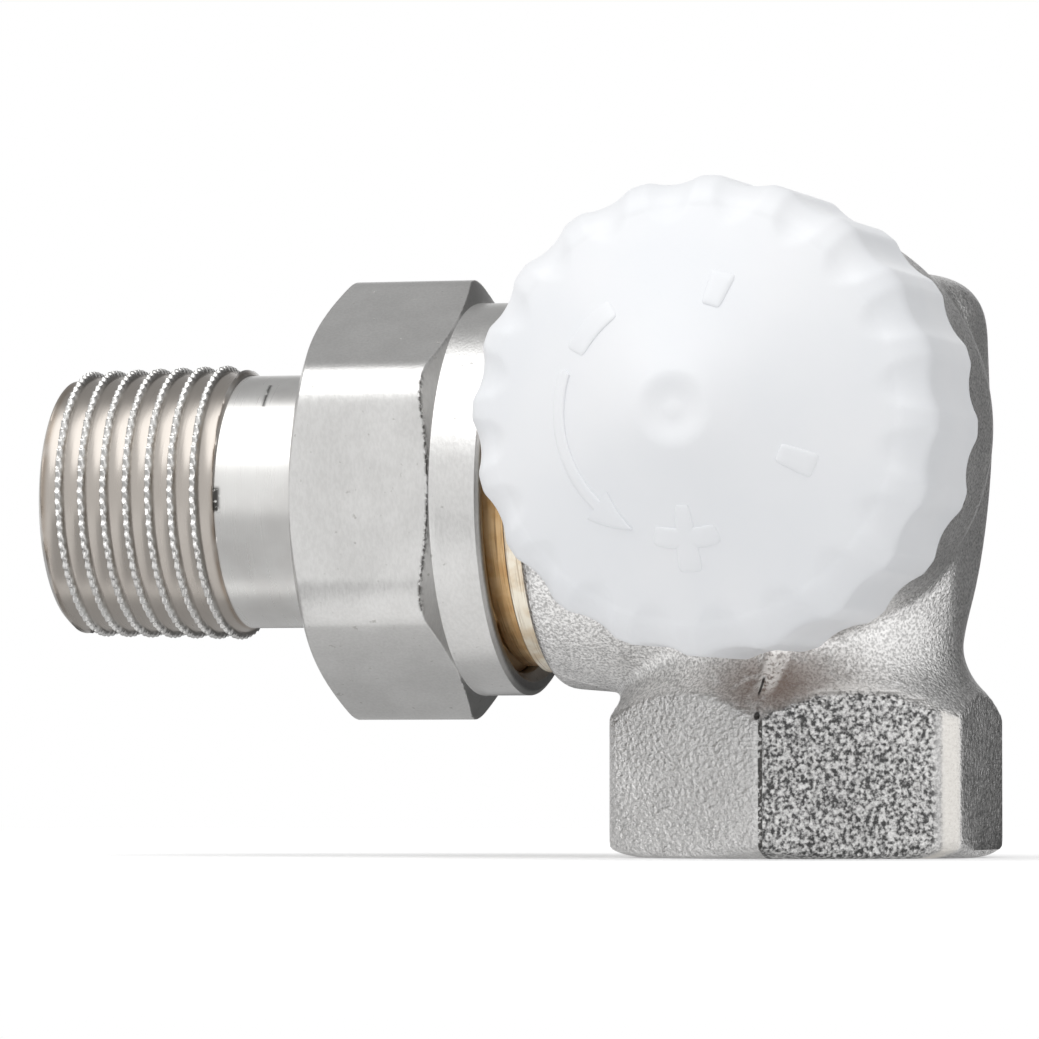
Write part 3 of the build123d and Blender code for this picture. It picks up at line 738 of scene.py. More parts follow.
# Shapes that several pieces share
def hexagon_radius(angle, flats, corner_round):
    """Radius of a rounded hexagon with a flat facing angle 0.

    Along a flat it is half the flats over the cosine of the angle from the flat; at a corner it is the far
    side of a circle of the corner's radius, centred on the corner's bisector.
    """
    half = flats / 2
    from_flat = np.abs((angle + TURN / 12) % (TURN / 6) - TURN / 12)
    from_corner = TURN / 12 - from_flat
    centre = (half - corner_round) / np.cos(TURN / 12)
    arc = centre * np.cos(from_corner) + np.sqrt(
        np.maximum(corner_round**2 - (centre * np.sin(from_corner)) ** 2, 0)
    )
    tangent = np.arctan2((half - corner_round) * np.tan(TURN / 12), half)
    return np.where(from_flat > tangent, arc, half / np.cos(from_flat))


def thread_rise(along, angle, pitch):
    """Right-hand thread: 1 on the crest, falling evenly to 0 in the root, once per pitch and turn."""
    return np.abs(2 * ((along / pitch - angle / TURN) % 1) - 1)


def thread_wave(along, angle, pitch):
    """The thread's rise, rounded at crest and root."""
    return ease(thread_rise(along, angle, pitch), *THREAD_ROUND)


def rings(place, outline, around):
    """Plain rings about an axis from (along, radius) pairs of an outline."""
    outline = np.array(outline, float)
    return place(outline[:, :1], outline[:, 1:], angles(around)[None, :])


# Casting
def socket_prism(x, y):
    """Distance from the socket's hexagon: worn corners all round, but a sharp one to the front."""
    angle = np.arctan2(y, x)
    corner = np.where(np.abs(angle + TURN / 4) < TURN / 12, FRONT_CORNER_ROUND, SOCKET_ROUND)
    return np.hypot(x, y) - hexagon_radius(angle, SOCKET_FLATS, corner)


def barrel_profile(height):
    """Radius of the barrel: a plain waist, then an arc of the belly's rounding, then a slight taper."""
    drop = np.clip(BELLY_HEIGHT - height, 0, BELLY_ROUND)
    belly = BELLY_RADIUS - BELLY_ROUND + np.sqrt(BELLY_ROUND**2 - drop**2)
    taper = BELLY_RADIUS - BARREL_TAPER * (height - BELLY_HEIGHT)
    return soft_max(np.where(height > BELLY_HEIGHT, taper, belly), WAIST_RADIUS, WAIST_BLEND)


def casting(points):
    """Rough distance to the casting's surface, negative inside.

    Barrel, neck, boss and socket are each a radius less its outline's radius, cut off by flat ends, and
    are joined by soft minima, which leave the fillets of a casting between them. A bell across the middle
    plane raises the seam, and a flat cone cuts the socket's mouth.
    """
    x, y, z = np.moveaxis(points, -1, 0)
    from_pipe = np.hypot(x, y)
    from_tail = np.hypot(y, z - TAIL_HEIGHT)
    from_spindle = np.hypot(x, z - SPINDLE_HEIGHT)
    barrel = soft_max(from_pipe - barrel_profile(z), z - BARREL_TOP, BARREL_TOP_ROUND)
    cheek = x - CHEEK + CHEEK_LEAN * np.maximum(BELLY_HEIGHT - z, 0)
    barrel = soft_max(barrel, cheek, CHEEK_ROUND)
    drawn = NECK_SWELL + NECK_DRAW * (x + NECK_SWELL_PLACE)
    swell = soft_min(NECK_ROOT - NECK_FLARE * x, drawn, NECK_BLEND)
    neck = soft_max(from_tail - swell, -x - NECK_END, NECK_END_ROUND)
    neck = soft_max(neck, x - INNER_END, INNER_END_ROUND)
    flare = soft_min(BOSS_ROOT - BOSS_FLARE * y, BOSS_RADIUS, BOSS_BLEND)
    boss = soft_max(BOSS_STEEPNESS * (from_spindle - flare), -y - BOSS_FRONT, BOSS_FRONT_ROUND)
    boss = soft_max(boss, y - INNER_END, INNER_END_ROUND)
    cone = (from_pipe + z - SHOULDER_SUM) / np.sqrt(2)
    socket = soft_max(socket_prism(x, y), cone, SHOULDER_ROUND)
    upper = soft_min(soft_min(barrel, neck, NECK_FILLET), boss, BOSS_FILLET)
    joined = soft_min(upper, socket, SOCKET_FILLET)
    slope = np.radians(MOUTH_SLOPE)
    mouth = (from_pipe - MOUTH_RADIUS) * np.sin(slope) - z * np.cos(slope)
    seam = SEAM_HEIGHT * bell(x, SEAM_WIDTH) * ease(z, *SEAM_FOOT)
    return soft_max(soft_max(joined - seam, mouth, MOUTH_ROUND), -z, FOOT_ROUND)


def cast_body():
    """Casting as seen from a point on the pipe axis.

    Along each direction the radius is found by halving the interval in which the distance changes sign.
    From the mouth the rings go on up the bore: the thread's root, the pipe stop and the slanted port.
    """
    turn = angles(CAST_AROUND)[None, :]
    last = -np.pi / 2 + np.arctan2(PIPE_CORE + MOUTH_LIP, CAST_CENTRE[2])
    tilt = np.linspace(np.pi / 2 - POLE_ANGLE, last, CAST_TALL)[:, None]
    aim = about_pipe(np.sin(tilt), np.cos(tilt), turn)
    near, far = np.full(aim.shape[:2], NEAREST), np.full(aim.shape[:2], FARTHEST)
    for _ in range(HALVINGS):
        middle = (near + far) / 2
        outside = casting(np.array(CAST_CENTRE) + middle[..., None] * aim) > 0
        near, far = np.where(outside, near, middle), np.where(outside, middle, far)
    outer = np.array(CAST_CENTRE) + near[..., None] * aim
    root = PIPE_CORE + PIPE_DEPTH
    stop_top = PIPE_LENGTH + STOP_THICKNESS
    bore = rings(about_pipe, [
        (PIPE_LEAD, root), (PIPE_LENGTH, root), (PIPE_LENGTH, WATERWAY), (stop_top, WATERWAY),
        (stop_top, PORT_RADIUS), (PIPE_LENGTH + PORT_RISE, PORT_RADIUS),
    ], CAST_AROUND)
    bore[-2:, :, 1] += np.array(PORT_OFFSETS)[:, None]
    rows = np.concatenate([outer, bore])
    x, y, z = np.moveaxis(rows, -1, 0)
    on_outer = (np.arange(len(rows)) < CAST_TALL)[:, None]
    facing = np.degrees(np.arctan2(y, x))
    over_flat = socket_prism(x, y) * np.sqrt(2) - (np.hypot(x, y) + z - SHOULDER_SUM)
    low = z < SHOULDER_LIMIT
    flat = on_outer * ease(over_flat, *FLAT_EDGE) * low
    # Brown painted shade in the recess under the boss, kept as the mask named stain.
    recess_shade_spot = bell(x - RECESS_SHADE_ACROSS, RECESS_SHADE_HALF_WIDTH) * bell(z - RECESS_SHADE_HEIGHT, RECESS_SHADE_HALF_HEIGHT)
    masks = {
        "flat": flat,
        "speckle": flat * (band(facing, *SPECKLED_FACE) + SIDE_SPECKLE * band(facing, *SIDE_FACE)),
        "polish": flat * band(facing, *POLISHED_CORNER),
        "worn": on_outer * bell(over_flat - WORN_EDGE, WORN_WIDTH) * band(facing, *WORN_SIDE) * low,
        "stain": on_outer * recess_shade_spot * (y < 0) * (1 - flat),
    }
    skin("cast_body", rows, "valve", NICKEL, "valve_body", masks=masks)


def socket_thread():
    """Thread ring in the pipe socket: helical face inside, plain wall behind, as one closed loop.

    The radius is the core's plus the depth times one less the wave, fading out at both ends.
    """
    turn = angles(THREAD_AROUND)[None, :]
    height = np.arange(PIPE_LEAD, PIPE_LENGTH, PIPE_PITCH / SOCKET_RINGS_PER_PITCH)[:, None]
    fade = ease(height, PIPE_LEAD, 2 * PIPE_LEAD) * ease(height, PIPE_LENGTH, PIPE_LENGTH - PIPE_LEAD)
    helix = PIPE_CORE + PIPE_DEPTH * (1 - thread_wave(height, turn, PIPE_PITCH) * fade)
    wall = PIPE_CORE + PIPE_DEPTH + PIPE_WALL_OVERLAP
    behind = rings(about_pipe, [(PIPE_LENGTH, wall), (PIPE_LEAD, wall)], THREAD_AROUND)
    rows = np.concatenate([about_pipe(height, helix, turn), behind])
    skin("socket_thread", rows, "valve", NICKEL, loop=True)


def threaded_stub(name, place, finish, thread, before, after):
    """Helical thread along an axis, with plain rings before and after it, as one closed loop.

    thread gives its start, end, crest radius, pitch and depth. The radius is the crest's less the depth times
    one less the wave, limited by end chamfers. All but the last two rings before it belong to a collar.
    """
    start, end, radius, pitch, depth = thread
    turn = angles(THREAD_AROUND)[None, :]
    along = np.arange(start, end, pitch / STUB_RINGS_PER_PITCH)[:, None]
    radii = radius - depth * (1 - thread_wave(along, turn, pitch))
    limit = radius - depth * STUB_END_SHARE + np.minimum(along - start, end - along)
    helix = place(along, soft_min(radii, limit, STUB_END_BLEND), turn)
    rows = np.concatenate([rings(place, before, THREAD_AROUND), helix, rings(place, after, THREAD_AROUND)])
    collar = np.zeros(rows.shape[:2])
    collar[:len(before) - 2] = 1
    skin(name, rows, "valve", finish, loop=True, masks={"collar": collar})


def return_spring(finish):
    """Return spring: a round wire carried along a helix about the spindle axis.

    Each ring is a circle of the wire's radius in the plane of the axis, turned on and moved along in equal
    steps.
    """
    low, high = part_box("return_spring")
    front, rear = -low.y / MM - SPRING_WIRE, -high.y / MM + SPRING_WIRE
    step = np.linspace(0, 1, SPRING_RINGS)[:, None]
    about_wire = angles(WIRE_SIDES)[None, :]
    along = rear + (front - rear) * step + SPRING_WIRE * np.sin(about_wire)
    radius = SPRING_RADIUS + SPRING_WIRE * np.cos(about_wire)
    rows = about_spindle(along, radius, TURN * SPRING_TURNS * step)
    spring = skin("coil_spring", rows, None, finish, "return_spring")
    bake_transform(spring)


# Union
def union_nut():
    """Union nut: collar, hexagon and bore as rings about the tail axis.

    Over the hexagon the radius is the smaller of the rounded hexagon and the turned chamfer cones.
    """
    turn = angles(NUT_AROUND)[None, :]
    collar = [(NUT_COLLAR_END, NUT_COLLAR_MOUTH)]
    collar += [(NUT_COLLAR_END + setback, radius) for setback, radius in NUT_COLLAR_EDGE]
    collar += [(place, NUT_COLLAR + rise) for place, rise in NUT_COLLAR_ROOT]
    ends = np.concatenate([
        np.linspace(0, NUT_CHAMFER_RUN, NUT_CHAMFER_RINGS), np.linspace(*NUT_FLAT_RUN, NUT_FLAT_RINGS)
    ])
    along = np.concatenate([NUT_REAR + ends, (NUT_FRONT - ends)[::-1]])[:, None]
    half = NUT_FLATS / 2
    sides = hexagon_radius(turn, NUT_FLATS, NUT_ROUND)
    rear_cone = half + (along - NUT_REAR) / tan_of(NUT_REAR_CHAMFER)
    front_cone = half + (NUT_FRONT - along) / tan_of(NUT_FRONT_CHAMFER)
    cones = soft_min(rear_cone, front_cone, NUT_CONE_BLEND)
    hexagon = about_tail(along, soft_min(sides, cones, NUT_EDGE_BLEND), turn)
    thread_radius = UNION_RADIUS + NUT_THREAD_GAP
    inside = [
        (NUT_FRONT, NUT_FACE_RADIUS), (NUT_FRONT, NUT_BORE + NUT_BORE_EDGE),
        (NUT_FRONT - NUT_BORE_ROUND, NUT_BORE + NUT_BORE_ROUND), (NUT_FRONT - NUT_BORE_EDGE, NUT_BORE),
        (NUT_INNER_FACE, NUT_BORE), (NUT_INNER_FACE, thread_radius),
        (NUT_COLLAR_END + NUT_COLLAR_LEAD, thread_radius),
    ]
    rows = np.concatenate([
        rings(about_tail, collar, NUT_AROUND), hexagon, rings(about_tail, inside, NUT_AROUND)
    ])
    hex_rows = slice(len(collar), len(collar) + len(along))
    shown = np.linalg.norm(rows[hex_rows, :, 1:] - (0, TAIL_HEIGHT), axis=-1)
    facing = np.abs((turn + np.pi) % TURN - np.pi)
    near_edge = bell(sides - rear_cone, EDGE_MARK_WIDTH) * (shown > half - EDGE_MARK_MARGIN)
    edge = np.zeros(rows.shape[:2])
    edge[hex_rows] = near_edge * (1 - ease(facing, *EDGE_MARK_SIDE))
    shaded_lip = np.zeros(rows.shape[:2])
    # Painted shade on the collar's end face, which looks into the gap towards the casting.
    shaded_lip[:2] = NUT_LIP_SHADE
    masks = {"edge": edge, "shaded_lip": shaded_lip}
    skin("union_nut_satin", rows, "union_nut", satin_nickel(), "union_nut", True, masks)


def tail():
    """Tailpiece: ball nose and collar inside the nut, shank, taper thread with serrated crests, and bore.

    The thread's radius is a falling crest less the valley's depth off the narrow ridge. The valley rises as
    the square of the way to the next ridge. Notches, a zigzag round the axis that is bent like an arrow
    across the ridge, cut the ridge into teeth. End cones limit it.
    """
    around = NOTCHES * NOTCH_STEPS
    turn = angles(around)[None, :]
    nose_angle = np.linspace(np.radians(NOSE_ARC[0]), np.radians(NOSE_ARC[1]), NOSE_RINGS)
    nose = np.stack([NOSE_CENTRE - NOSE_RADIUS * np.cos(nose_angle), NOSE_RADIUS * np.sin(nose_angle)], -1)
    front = [(TAIL_COLLAR_START, TAIL_COLLAR), (NUT_INNER_FACE, TAIL_COLLAR), (NUT_INNER_FACE, SHANK_RADIUS)]
    front += [(place, SHANK_RADIUS) for place in np.arange(SHANK_SHOWN, THREAD_START, SHANK_STEP)]
    along = np.arange(THREAD_START, TAIL_REACH, PIPE_PITCH / TAIL_RINGS_PER_PITCH)[:, None]
    crest = TAIL_CREST - TAIL_TAPER * (along - THREAD_START)
    rise = thread_rise(along, turn, PIPE_PITCH)
    ridge = ease(rise, *TAIL_RIDGE_SIDES)
    way = np.clip(((along / PIPE_PITCH - turn / TURN) % 1 - VALLEY_START) / (1 - VALLEY_START), 0, 1)
    notch = np.abs(2 * ((NOTCHES * turn / TURN - CHEVRON * (1 - rise)) % 1) - 1)
    radius = crest - (TAIL_DEPTH - VALLEY_RISE * way**2) * (1 - ridge)
    radius = radius - TOOTH_DEPTH * notch * ease(rise, *TOOTH_SIDES)
    radius = np.minimum(radius, SHANK_RADIUS + LEAD_STEP + LEAD_SLOPE * (along - THREAD_START))
    radius = np.minimum(radius, crest - END_DROP + (TAIL_REACH - along))
    back = [
        (TAIL_REACH, END_FACE_RADIUS), (TAIL_REACH, WATERWAY + TAIL_BORE_EDGE),
        (TAIL_REACH - TAIL_BORE_EDGE, WATERWAY), (TAIL_BORE_RING, WATERWAY),
    ]
    rows = np.concatenate([
        rings(about_tail, nose, around), rings(about_tail, front, around),
        about_tail(along, radius, turn), rings(about_tail, back, around),
    ])
    groove_dirt_and_shade = np.zeros(rows.shape[:2])
    begin = len(nose) + len(front)
    # This valley mask carries dirt and painted shade in the thread's valleys.
    groove_dirt_and_shade[begin:begin + len(along)] = 1 - ease(ridge, *VALLEY_SHADE)
    places = np.concatenate([nose[:, :1], np.array(front)[:, :1], along, np.array(back)[:, :1]])
    side = np.degrees((turn + np.pi) % TURN - np.pi)
    off_scratch = places - SCRATCH_PLACE - SCRATCH_LEAN * (side - SCRATCH_SIDE)
    scratch = bell(off_scratch, SCRATCH_WIDTH) * (np.abs(side - SCRATCH_SIDE) < SCRATCH_REACH)
    dent = np.exp(-(((places - DENT_PLACE) / DENT_WIDTH) ** 4))
    dent = dent * ease(DENT_REACH - np.abs(side - DENT_SIDE), 0, DENT_FADE)
    stain = bell(places - START_STAIN, START_STAIN_WIDTH)
    stain = stain + END_STAIN_SHARE * bell(places - END_STAIN, END_STAIN_WIDTH)
    masks = {
        "groove_dirt_and_shade": groove_dirt_and_shade,
        "mark": np.maximum(scratch, dent),
        "runout": np.broadcast_to(stain, groove_dirt_and_shade.shape),
    }
    finish = turned_nickel()
    skin("tail_threaded", rows, "tailpiece", finish, "tailpiece", True, masks, TAIL_CREASE)


# Hand cap
KNEE_HEIGHT = CAP_SHOULDER + (CAP_RADIUS - CAP_KNEE) * tan_of(CAP_SHOULDER_SLOPE)


def dome(radius):
    """Height of the cap's dome over its radius: the lower of two cones, with a rounded tip."""
    radius = np.hypot(radius, CAP_TIP_ROUND) - CAP_TIP_SHIFT
    outer = CAP_SHOULDER + (CAP_RADIUS - radius) * tan_of(CAP_SHOULDER_SLOPE)
    return soft_min(outer, KNEE_HEIGHT + (CAP_KNEE - radius) * tan_of(CAP_TIP_SLOPE), CAP_KNEE_BLEND)


def hand_cap():
    """Cap: skirt, rounded shoulder, dome with a dimple, and the hollow inside, as rings about the spindle.

    Each outer point moves inwards along the outline's normal by the flute's depth: a circle of the flute's
    radius less its distance from the skin, lifted out along the dome until the flute ends.
    """
    around = FLUTES * FLUTE_STEPS
    turn = angles(around)[None, :]
    arc_end = 90 - CAP_SHOULDER_SLOPE
    arc_start = CAP_SHOULDER - CAP_SHOULDER_ROUND * tan_of(arc_end / 2)
    lean = np.radians(np.linspace(0, arc_end, SHOULDER_RINGS))
    rim = np.array([
        (CAP_RADIUS - CAP_RIM_ROUND, CAP_RIM),
        (CAP_RADIUS - CAP_RIM_MIDDLE[0], CAP_RIM + CAP_RIM_MIDDLE[1]),
        (CAP_RADIUS, CAP_RIM + CAP_RIM_ROUND),
    ])
    skirt_places = np.linspace(CAP_RIM + 2 * CAP_RIM_ROUND, arc_start - CAP_RING_STEP, SKIRT_RINGS)
    skirt = np.stack([np.full(SKIRT_RINGS, CAP_RADIUS), skirt_places], -1)
    shoulder = np.stack([
        CAP_RADIUS - CAP_SHOULDER_ROUND * (1 - np.cos(lean)), arc_start + CAP_SHOULDER_ROUND * np.sin(lean)
    ], -1)
    crown_outer = shoulder[-1, 0]
    radii = np.concatenate([
        np.linspace(crown_outer - CAP_RING_STEP, CROWN_INNER, CROWN_RINGS),
        np.linspace(CROWN_INNER - CAP_RING_STEP, CAP_POLE_RADIUS, TIP_RINGS),
    ])
    crown = np.stack([radii, dome(radii) - DIMPLE_DEPTH * (1 - ease(radii, *DIMPLE_WALL))], -1)
    outline = np.concatenate([rim, skirt, shoulder, crown])
    upright = np.zeros(len(rim) + len(skirt))
    tilt = np.concatenate([upright, lean, np.full(len(crown), lean[-1])])
    run = np.concatenate([upright, np.zeros(len(shoulder)), crown_outer - radii])
    lift = FLUTE_RUNOUT * run + FLUTE_LIFT * ease(tilt, *FLUTE_LIFT_LEAN)
    half_step = TURN / FLUTES / 2
    past_flute = (turn - np.radians(FLUTE_START) + half_step) % (2 * half_step) - half_step
    from_flute = np.abs(past_flute) * CAP_RADIUS
    circle = np.sqrt(np.maximum(FLUTE_RADIUS**2 - from_flute**2, 0))
    cut = circle - (FLUTE_RADIUS - FLUTE_DEPTH) - lift[:, None]
    depth = soft_max(cut, np.zeros_like(cut), FLUTE_EDGE)
    outer = about_spindle(
        outline[:, 1:] - depth * np.sin(tilt)[:, None], outline[:, :1] - depth * np.cos(tilt)[:, None], turn
    )
    roof = KNEE_HEIGHT - CAP_ROOF
    inside = rings(about_spindle, [
        (CAP_PAD, CAP_POLE_RADIUS), (CAP_PAD, CAP_PAD_RADIUS), (CAP_PAD - CAP_PAD_HEIGHT, CAP_PAD_RADIUS),
        (roof, CAP_KNEE), (roof - (CAP_BORE - CAP_KNEE) * tan_of(CAP_SHOULDER_SLOPE), CAP_BORE),
        (CAP_RIM + CAP_RIM_ROUND, CAP_BORE), (CAP_RIM, CAP_BORE_MOUTH),
    ], around)
    skin("hand_cap", np.concatenate([inside, outer]), "cap", PLASTIC, "protective_cap")


def raised_mark(name, reach, angle_deg):
    """Raised sign on the dome: rings from its middle to its border and back underneath.

    reach gives the border's distance from the middle over the angle about the sign's own middle, which counts
    from along the round to outwards. The top follows the dome, and its edge is rounded.
    """
    about = angles(MARK_AROUND)[None, :]
    top = np.sin(np.linspace(MARK_MIDDLE, TURN / 4, MARK_TOP_RINGS))
    under = np.array([1.0, 0.5, MARK_MIDDLE])
    share = np.concatenate([top, under])[:, None]
    rise = np.concatenate([np.sqrt(1 - top**4), np.full(len(under), MARK_FOOT)])[:, None] * MARK_HEIGHT
    radius = MARK_RADIUS + share * reach(about) * np.sin(about)
    turn = np.radians(angle_deg) + share * reach(about) * np.cos(about) / MARK_RADIUS
    skin(name, about_spindle(dome(radius) + rise, radius, turn), "cap", PLASTIC)


def squared(across, up, length, width):
    """Distance to the border of a bar with rounded corners, a squared-off ellipse, along a direction."""
    power = MARK_SQUARENESS
    return ((across * 2 / length) ** power + (up * 2 / width) ** power) ** (-1 / power)


def bar(length, width):
    """Border of a bar over the angle."""
    return lambda about: squared(np.abs(np.cos(about)), np.abs(np.sin(about)), length, width)


def plus(length, width):
    """Border of a cross of two bars over the angle: the bar that lies nearer to each direction."""
    def reach(about):
        across, up = np.abs(np.cos(about)), np.abs(np.sin(about))
        return squared(np.maximum(across, up), np.minimum(across, up), length, width)
    return reach


def turning_arrow():
    """Curved arrow on the dome: a rounded strip carried along an arc, with a head that ends in a point."""
    start, neck, tip = np.radians([ARROW_START, ARROW_NECK, ARROW_TIP])
    shaft = np.linspace(start, neck, ARROW_SHAFT_RINGS)
    head = np.linspace(neck, tip, ARROW_HEAD_RINGS)
    turn = np.concatenate([[start - ARROW_BUTT_TURN], shaft, head])[:, None]
    head_half = ARROW_HEAD_HALF * np.linspace(1, ARROW_POINT, ARROW_HEAD_RINGS)
    shaft_half = np.full(ARROW_SHAFT_RINGS, ARROW_SHAFT_HALF)
    half = np.concatenate([[ARROW_BUTT_HALF], shaft_half, head_half])[:, None]
    across = np.sin(np.linspace(-TURN / 4, TURN / 4, ARROW_TOP_POINTS))
    side = np.concatenate([[-1], across, [1]])[None, :]
    rise = np.concatenate([[MARK_FOOT], np.sqrt(1 - across**4), [MARK_FOOT]])[None, :] * MARK_HEIGHT
    radius = MARK_RADIUS + ARROW_SHIFT + side * half
    rows = about_spindle(dome(radius) + rise, radius, turn)
    skin("turning_arrow", rows, "cap", PLASTIC)


# Pieces of the body
NICKEL = cast_nickel()
BRASS = bare_brass()
cast_body()
socket_thread()
threaded_stub(
    "union_thread", about_tail, BRASS,
    thread=(UNION_START, UNION_END, UNION_RADIUS, PIPE_PITCH, PIPE_DEPTH),
    before=[
        (UNION_ROOT, WATERWAY), (UNION_ROOT, UNION_COLLAR), (UNION_COLLAR_END, UNION_COLLAR),
        (UNION_COLLAR_END + UNION_COLLAR_EDGE, UNION_COLLAR - UNION_COLLAR_EDGE),
        (UNION_COLLAR_END + UNION_COLLAR_EDGE, UNION_GROOVE), (UNION_START - UNION_LEAD, UNION_GROOVE),
    ],
    after=[(UNION_END, UNION_FACE_RADIUS), (UNION_SEAT, WATERWAY)],
)
threaded_stub(
    "head_thread", about_spindle, NICKEL,
    thread=(BOSS_FRONT, HEAD_FACE, HEAD_RADIUS, HEAD_PITCH, HEAD_DEPTH),
    before=[(HEAD_ROOT, HEAD_BORE), (HEAD_ROOT, HEAD_ROOT_RADIUS)],
    after=[(HEAD_FACE, HEAD_FACE_RADIUS), (HEAD_FACE, HEAD_BORE)],
)

# Pieces of the union
union_nut()
tail()

# Pieces of the cap
PLASTIC = white_plastic()
hand_cap()
raised_mark("mark_plus", plus(*PLUS_SIZE), PLUS_ANGLE)
raised_mark("mark_minus", bar(*MINUS_SIZE), MINUS_ANGLE)
for tick, tick_angle in TICK_ANGLES.items():
    raised_mark(tick, bar(*TICK_SIZE), tick_angle)
turning_arrow()

# Pieces of the insert
STEEL = ground_steel()
return_spring(STEEL)
INNER_FINISHES = {"brass_turned": BRASS, "steel": STEEL, "seal_rubber": black_rubber()}
for subpart in frame["record"]["subparts"]:
    inner = frame["nodes"][subpart["node"]]
    if subpart["material_slot"] in INNER_FINISHES:
        inner.data.materials.clear()
        inner.data.materials.append(INNER_FINISHES[subpart["material_slot"]])

# Camera, with lengths in metres and its lens in millimetres
AZIMUTH, ELEVATION = np.radians(16.17), np.radians(-2.09)
DISTANCE = 0.55
AIM_ACROSS, AIM_HEIGHT = -0.02162, 0.02542
LENS = 253.1
SENSOR_WIDTH = 36.0
CLIP_START = 0.01
level = np.cos(ELEVATION)
back = Vector((np.sin(AZIMUTH) * level, -np.cos(AZIMUTH) * level, np.sin(ELEVATION)))
right = Vector((np.cos(AZIMUTH), np.sin(AZIMUTH), 0))
up = back.cross(right)
eye = right * AIM_ACROSS + Vector((0, 0, AIM_HEIGHT)) + back * DISTANCE
camera = bpy.data.objects.new("camera", bpy.data.cameras.new("camera"))
camera.data.lens = LENS
camera.data.sensor_width = SENSOR_WIDTH
camera.data.clip_start = CLIP_START
camera.matrix_world = Matrix((right, up, back)).transposed().to_4x4()
camera.matrix_world.translation = eye
bpy.context.scene.collection.objects.link(camera)
bpy.context.scene.camera = camera

# Studio, in metres; a card has a centre, two half sides and a brightness
FLOOR_REACH = 0.45
FLOOR_GREY = 0.8
FLOOR_LIFT = 0.3
FLOOR_FADE = (0.12, 0.4)
CARDS = {
    "overhead_card": ((0, 0.95, 1.05), (1.6, 0, 0), (0, 0.75, -0.3), 0.44),
    "back_card": ((0.6, 1.1, 0.3), (0.6, -0.2, 0), (0, 0, 0.7), 0.12),
    "left_card": ((-1.2, -0.25, 0.25), (0, 0.6, 0), (0, 0, 0.5), 0.64),
    "floor_card": ((-0.13, 0.1378, 0.0004), (0.11, 0, 0), (0, 0.1422, 0), 0.52),
    "front_floor_card": ((-0.1415, -0.0755, 0.0004), (0.0985, 0, 0), (0, 0.0645, 0), 0.6),
    "far_floor_card": ((0.0715, 0.1896, 0.0006), (0.138, 0.1157, 0), (-0.0707, 0.0843, 0), 0.1),
}
HIDDEN_RAYS = ("camera", "diffuse", "transmission", "volume_scatter", "shadow")
BACKGROUND_RAYS = ("Is Camera Ray", "Is Glossy Ray", "Is Transmission Ray")
LAMP_AIM = (-0.02, 0, 0.025)
WORLD_LIGHT = 0.74


def background_share(f):
    """1 for rays that show the background: those from the eye, and those that metal or glass sends on."""
    path = f.node("ShaderNodeLightPath")
    outputs = path.socket.node.outputs
    direct, mirrored, passed = (Line(f, outputs[name]) for name in BACKGROUND_RAYS)
    return path.maths("MAXIMUM", path.maths("MAXIMUM", direct, mirrored), passed)


def flat_sheet(name, corners, finish):
    """Flat stage sheet from four corners, in metres."""
    mesh = bpy.data.meshes.new(name)
    mesh.from_pydata(corners, [], [(0, 1, 2, 3)])
    mesh.materials.append(finish)
    sheet = bpy.data.objects.new(name, mesh)
    bpy.context.scene.collection.objects.link(sheet)
    return sheet


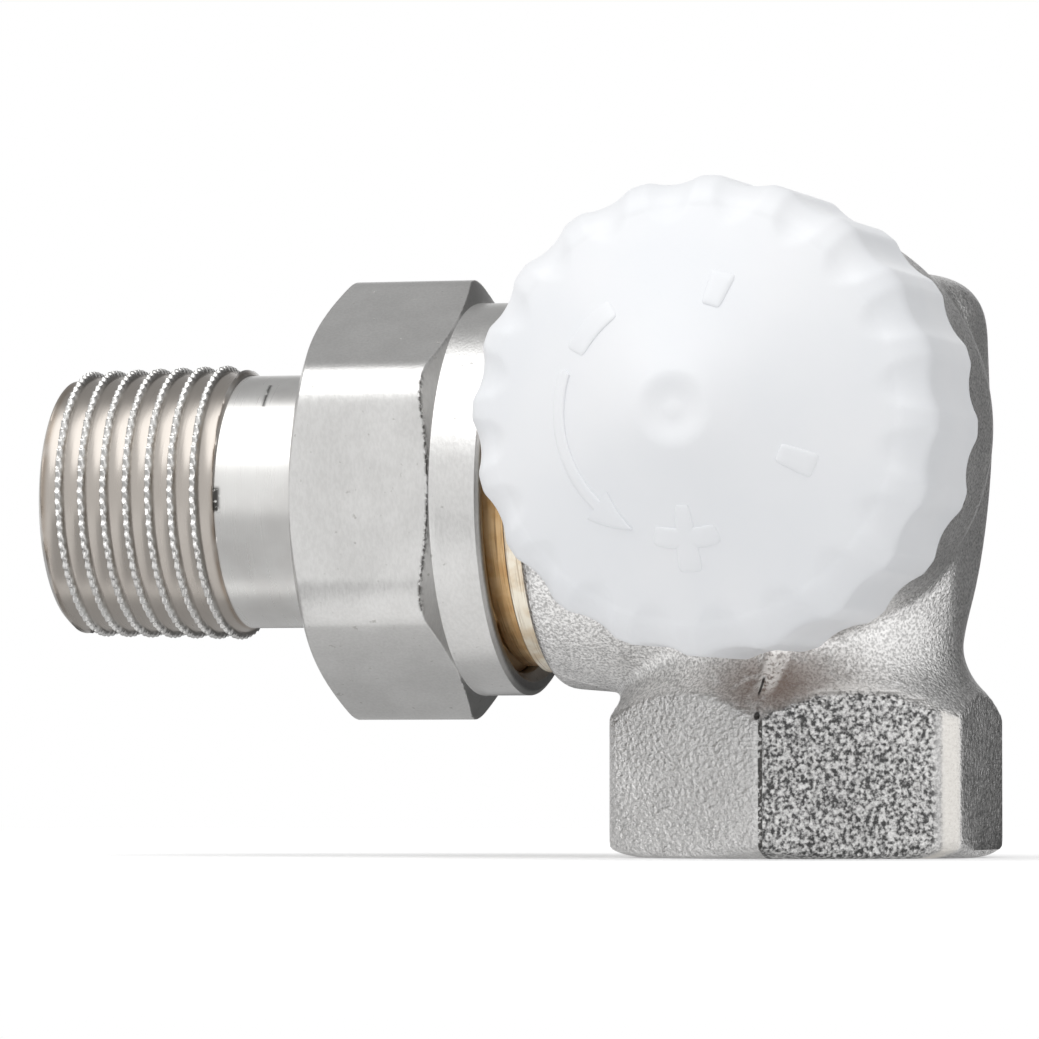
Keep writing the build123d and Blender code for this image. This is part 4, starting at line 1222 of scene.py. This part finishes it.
def floor_finish():
    """Pale floor whose lit part shows white, with the object's shadow kept, fading out into the backdrop."""
    f = new_finish("pale_floor")
    matt = f.node("ShaderNodeBsdfDiffuse", {}, {"Color": colour(FLOOR_GREY, FLOOR_GREY, FLOOR_GREY)})
    strength = background_share(f) * FLOOR_LIFT
    lift = f.node("ShaderNodeEmission", {}, {"Color": colour(1, 1, 1), "Strength": strength})
    both = f.node("ShaderNodeAddShader", {}, {0: matt, 1: lift})
    distance = f.node("ShaderNodeVectorMath", {"operation": "LENGTH"}, {0: f.place()}, "Value")
    clear = f.node("ShaderNodeBsdfTransparent")
    faded = f.node("ShaderNodeMixShader", {}, {0: distance.step(*FLOOR_FADE), 1: both, 2: clear})
    f.node("ShaderNodeOutputMaterial", {}, {"Surface": faded})
    return f.owner


def card_finish(name, brightness):
    """Even grey card that only shows in reflections."""
    f = new_finish(name)
    grey = colour(brightness, brightness, brightness)
    glow = f.node("ShaderNodeEmission", {}, {"Color": grey, "Strength": 1.0})
    f.node("ShaderNodeOutputMaterial", {}, {"Surface": glow})
    return f.owner


def card(name, centre, across, tall, brightness):
    """Grey card in the studio: a sheet about a centre with its two half sides."""
    c, a, t = Vector(centre), Vector(across), Vector(tall)
    sheet = flat_sheet(name, [c - a - t, c + a - t, c + a + t, c - a + t], card_finish(name, brightness))
    for ray in HIDDEN_RAYS:
        setattr(sheet, "visible_" + ray, False)


def soft_box(name, place, width, tall, power):
    """Large soft lamp aimed at the object."""
    lamp = bpy.data.lights.new(name, "AREA")
    lamp.shape = "RECTANGLE"
    lamp.size, lamp.size_y = width, tall
    lamp.energy = power
    made = bpy.data.objects.new(name, lamp)
    made.location = place
    made.rotation_euler = (Vector(LAMP_AIM) - Vector(place)).to_track_quat("-Z", "Y").to_euler()
    bpy.context.scene.collection.objects.link(made)


FLOOR_CORNERS = ((-1, -1), (1, -1), (1, 1), (-1, 1))
flat_sheet("floor", [(x * FLOOR_REACH, y * FLOOR_REACH, 0) for x, y in FLOOR_CORNERS], floor_finish())
for card_name, card_values in CARDS.items():
    card(card_name, *card_values)
soft_box("key", place=(-0.25, -0.58, 1.1), width=1.4, tall=1.3, power=8.0)

world = bpy.data.worlds.new("studio")
bpy.context.scene.world = world
sky = Finish(world)
sky_strength = WORLD_LIGHT + (1 - WORLD_LIGHT) * background_share(sky)
light = sky.node("ShaderNodeBackground", {}, {"Color": colour(1, 1, 1), "Strength": sky_strength})
sky.node("ShaderNodeOutputWorld", {}, {"Surface": light})
bpy.context.scene.view_settings.view_transform = "Standard"
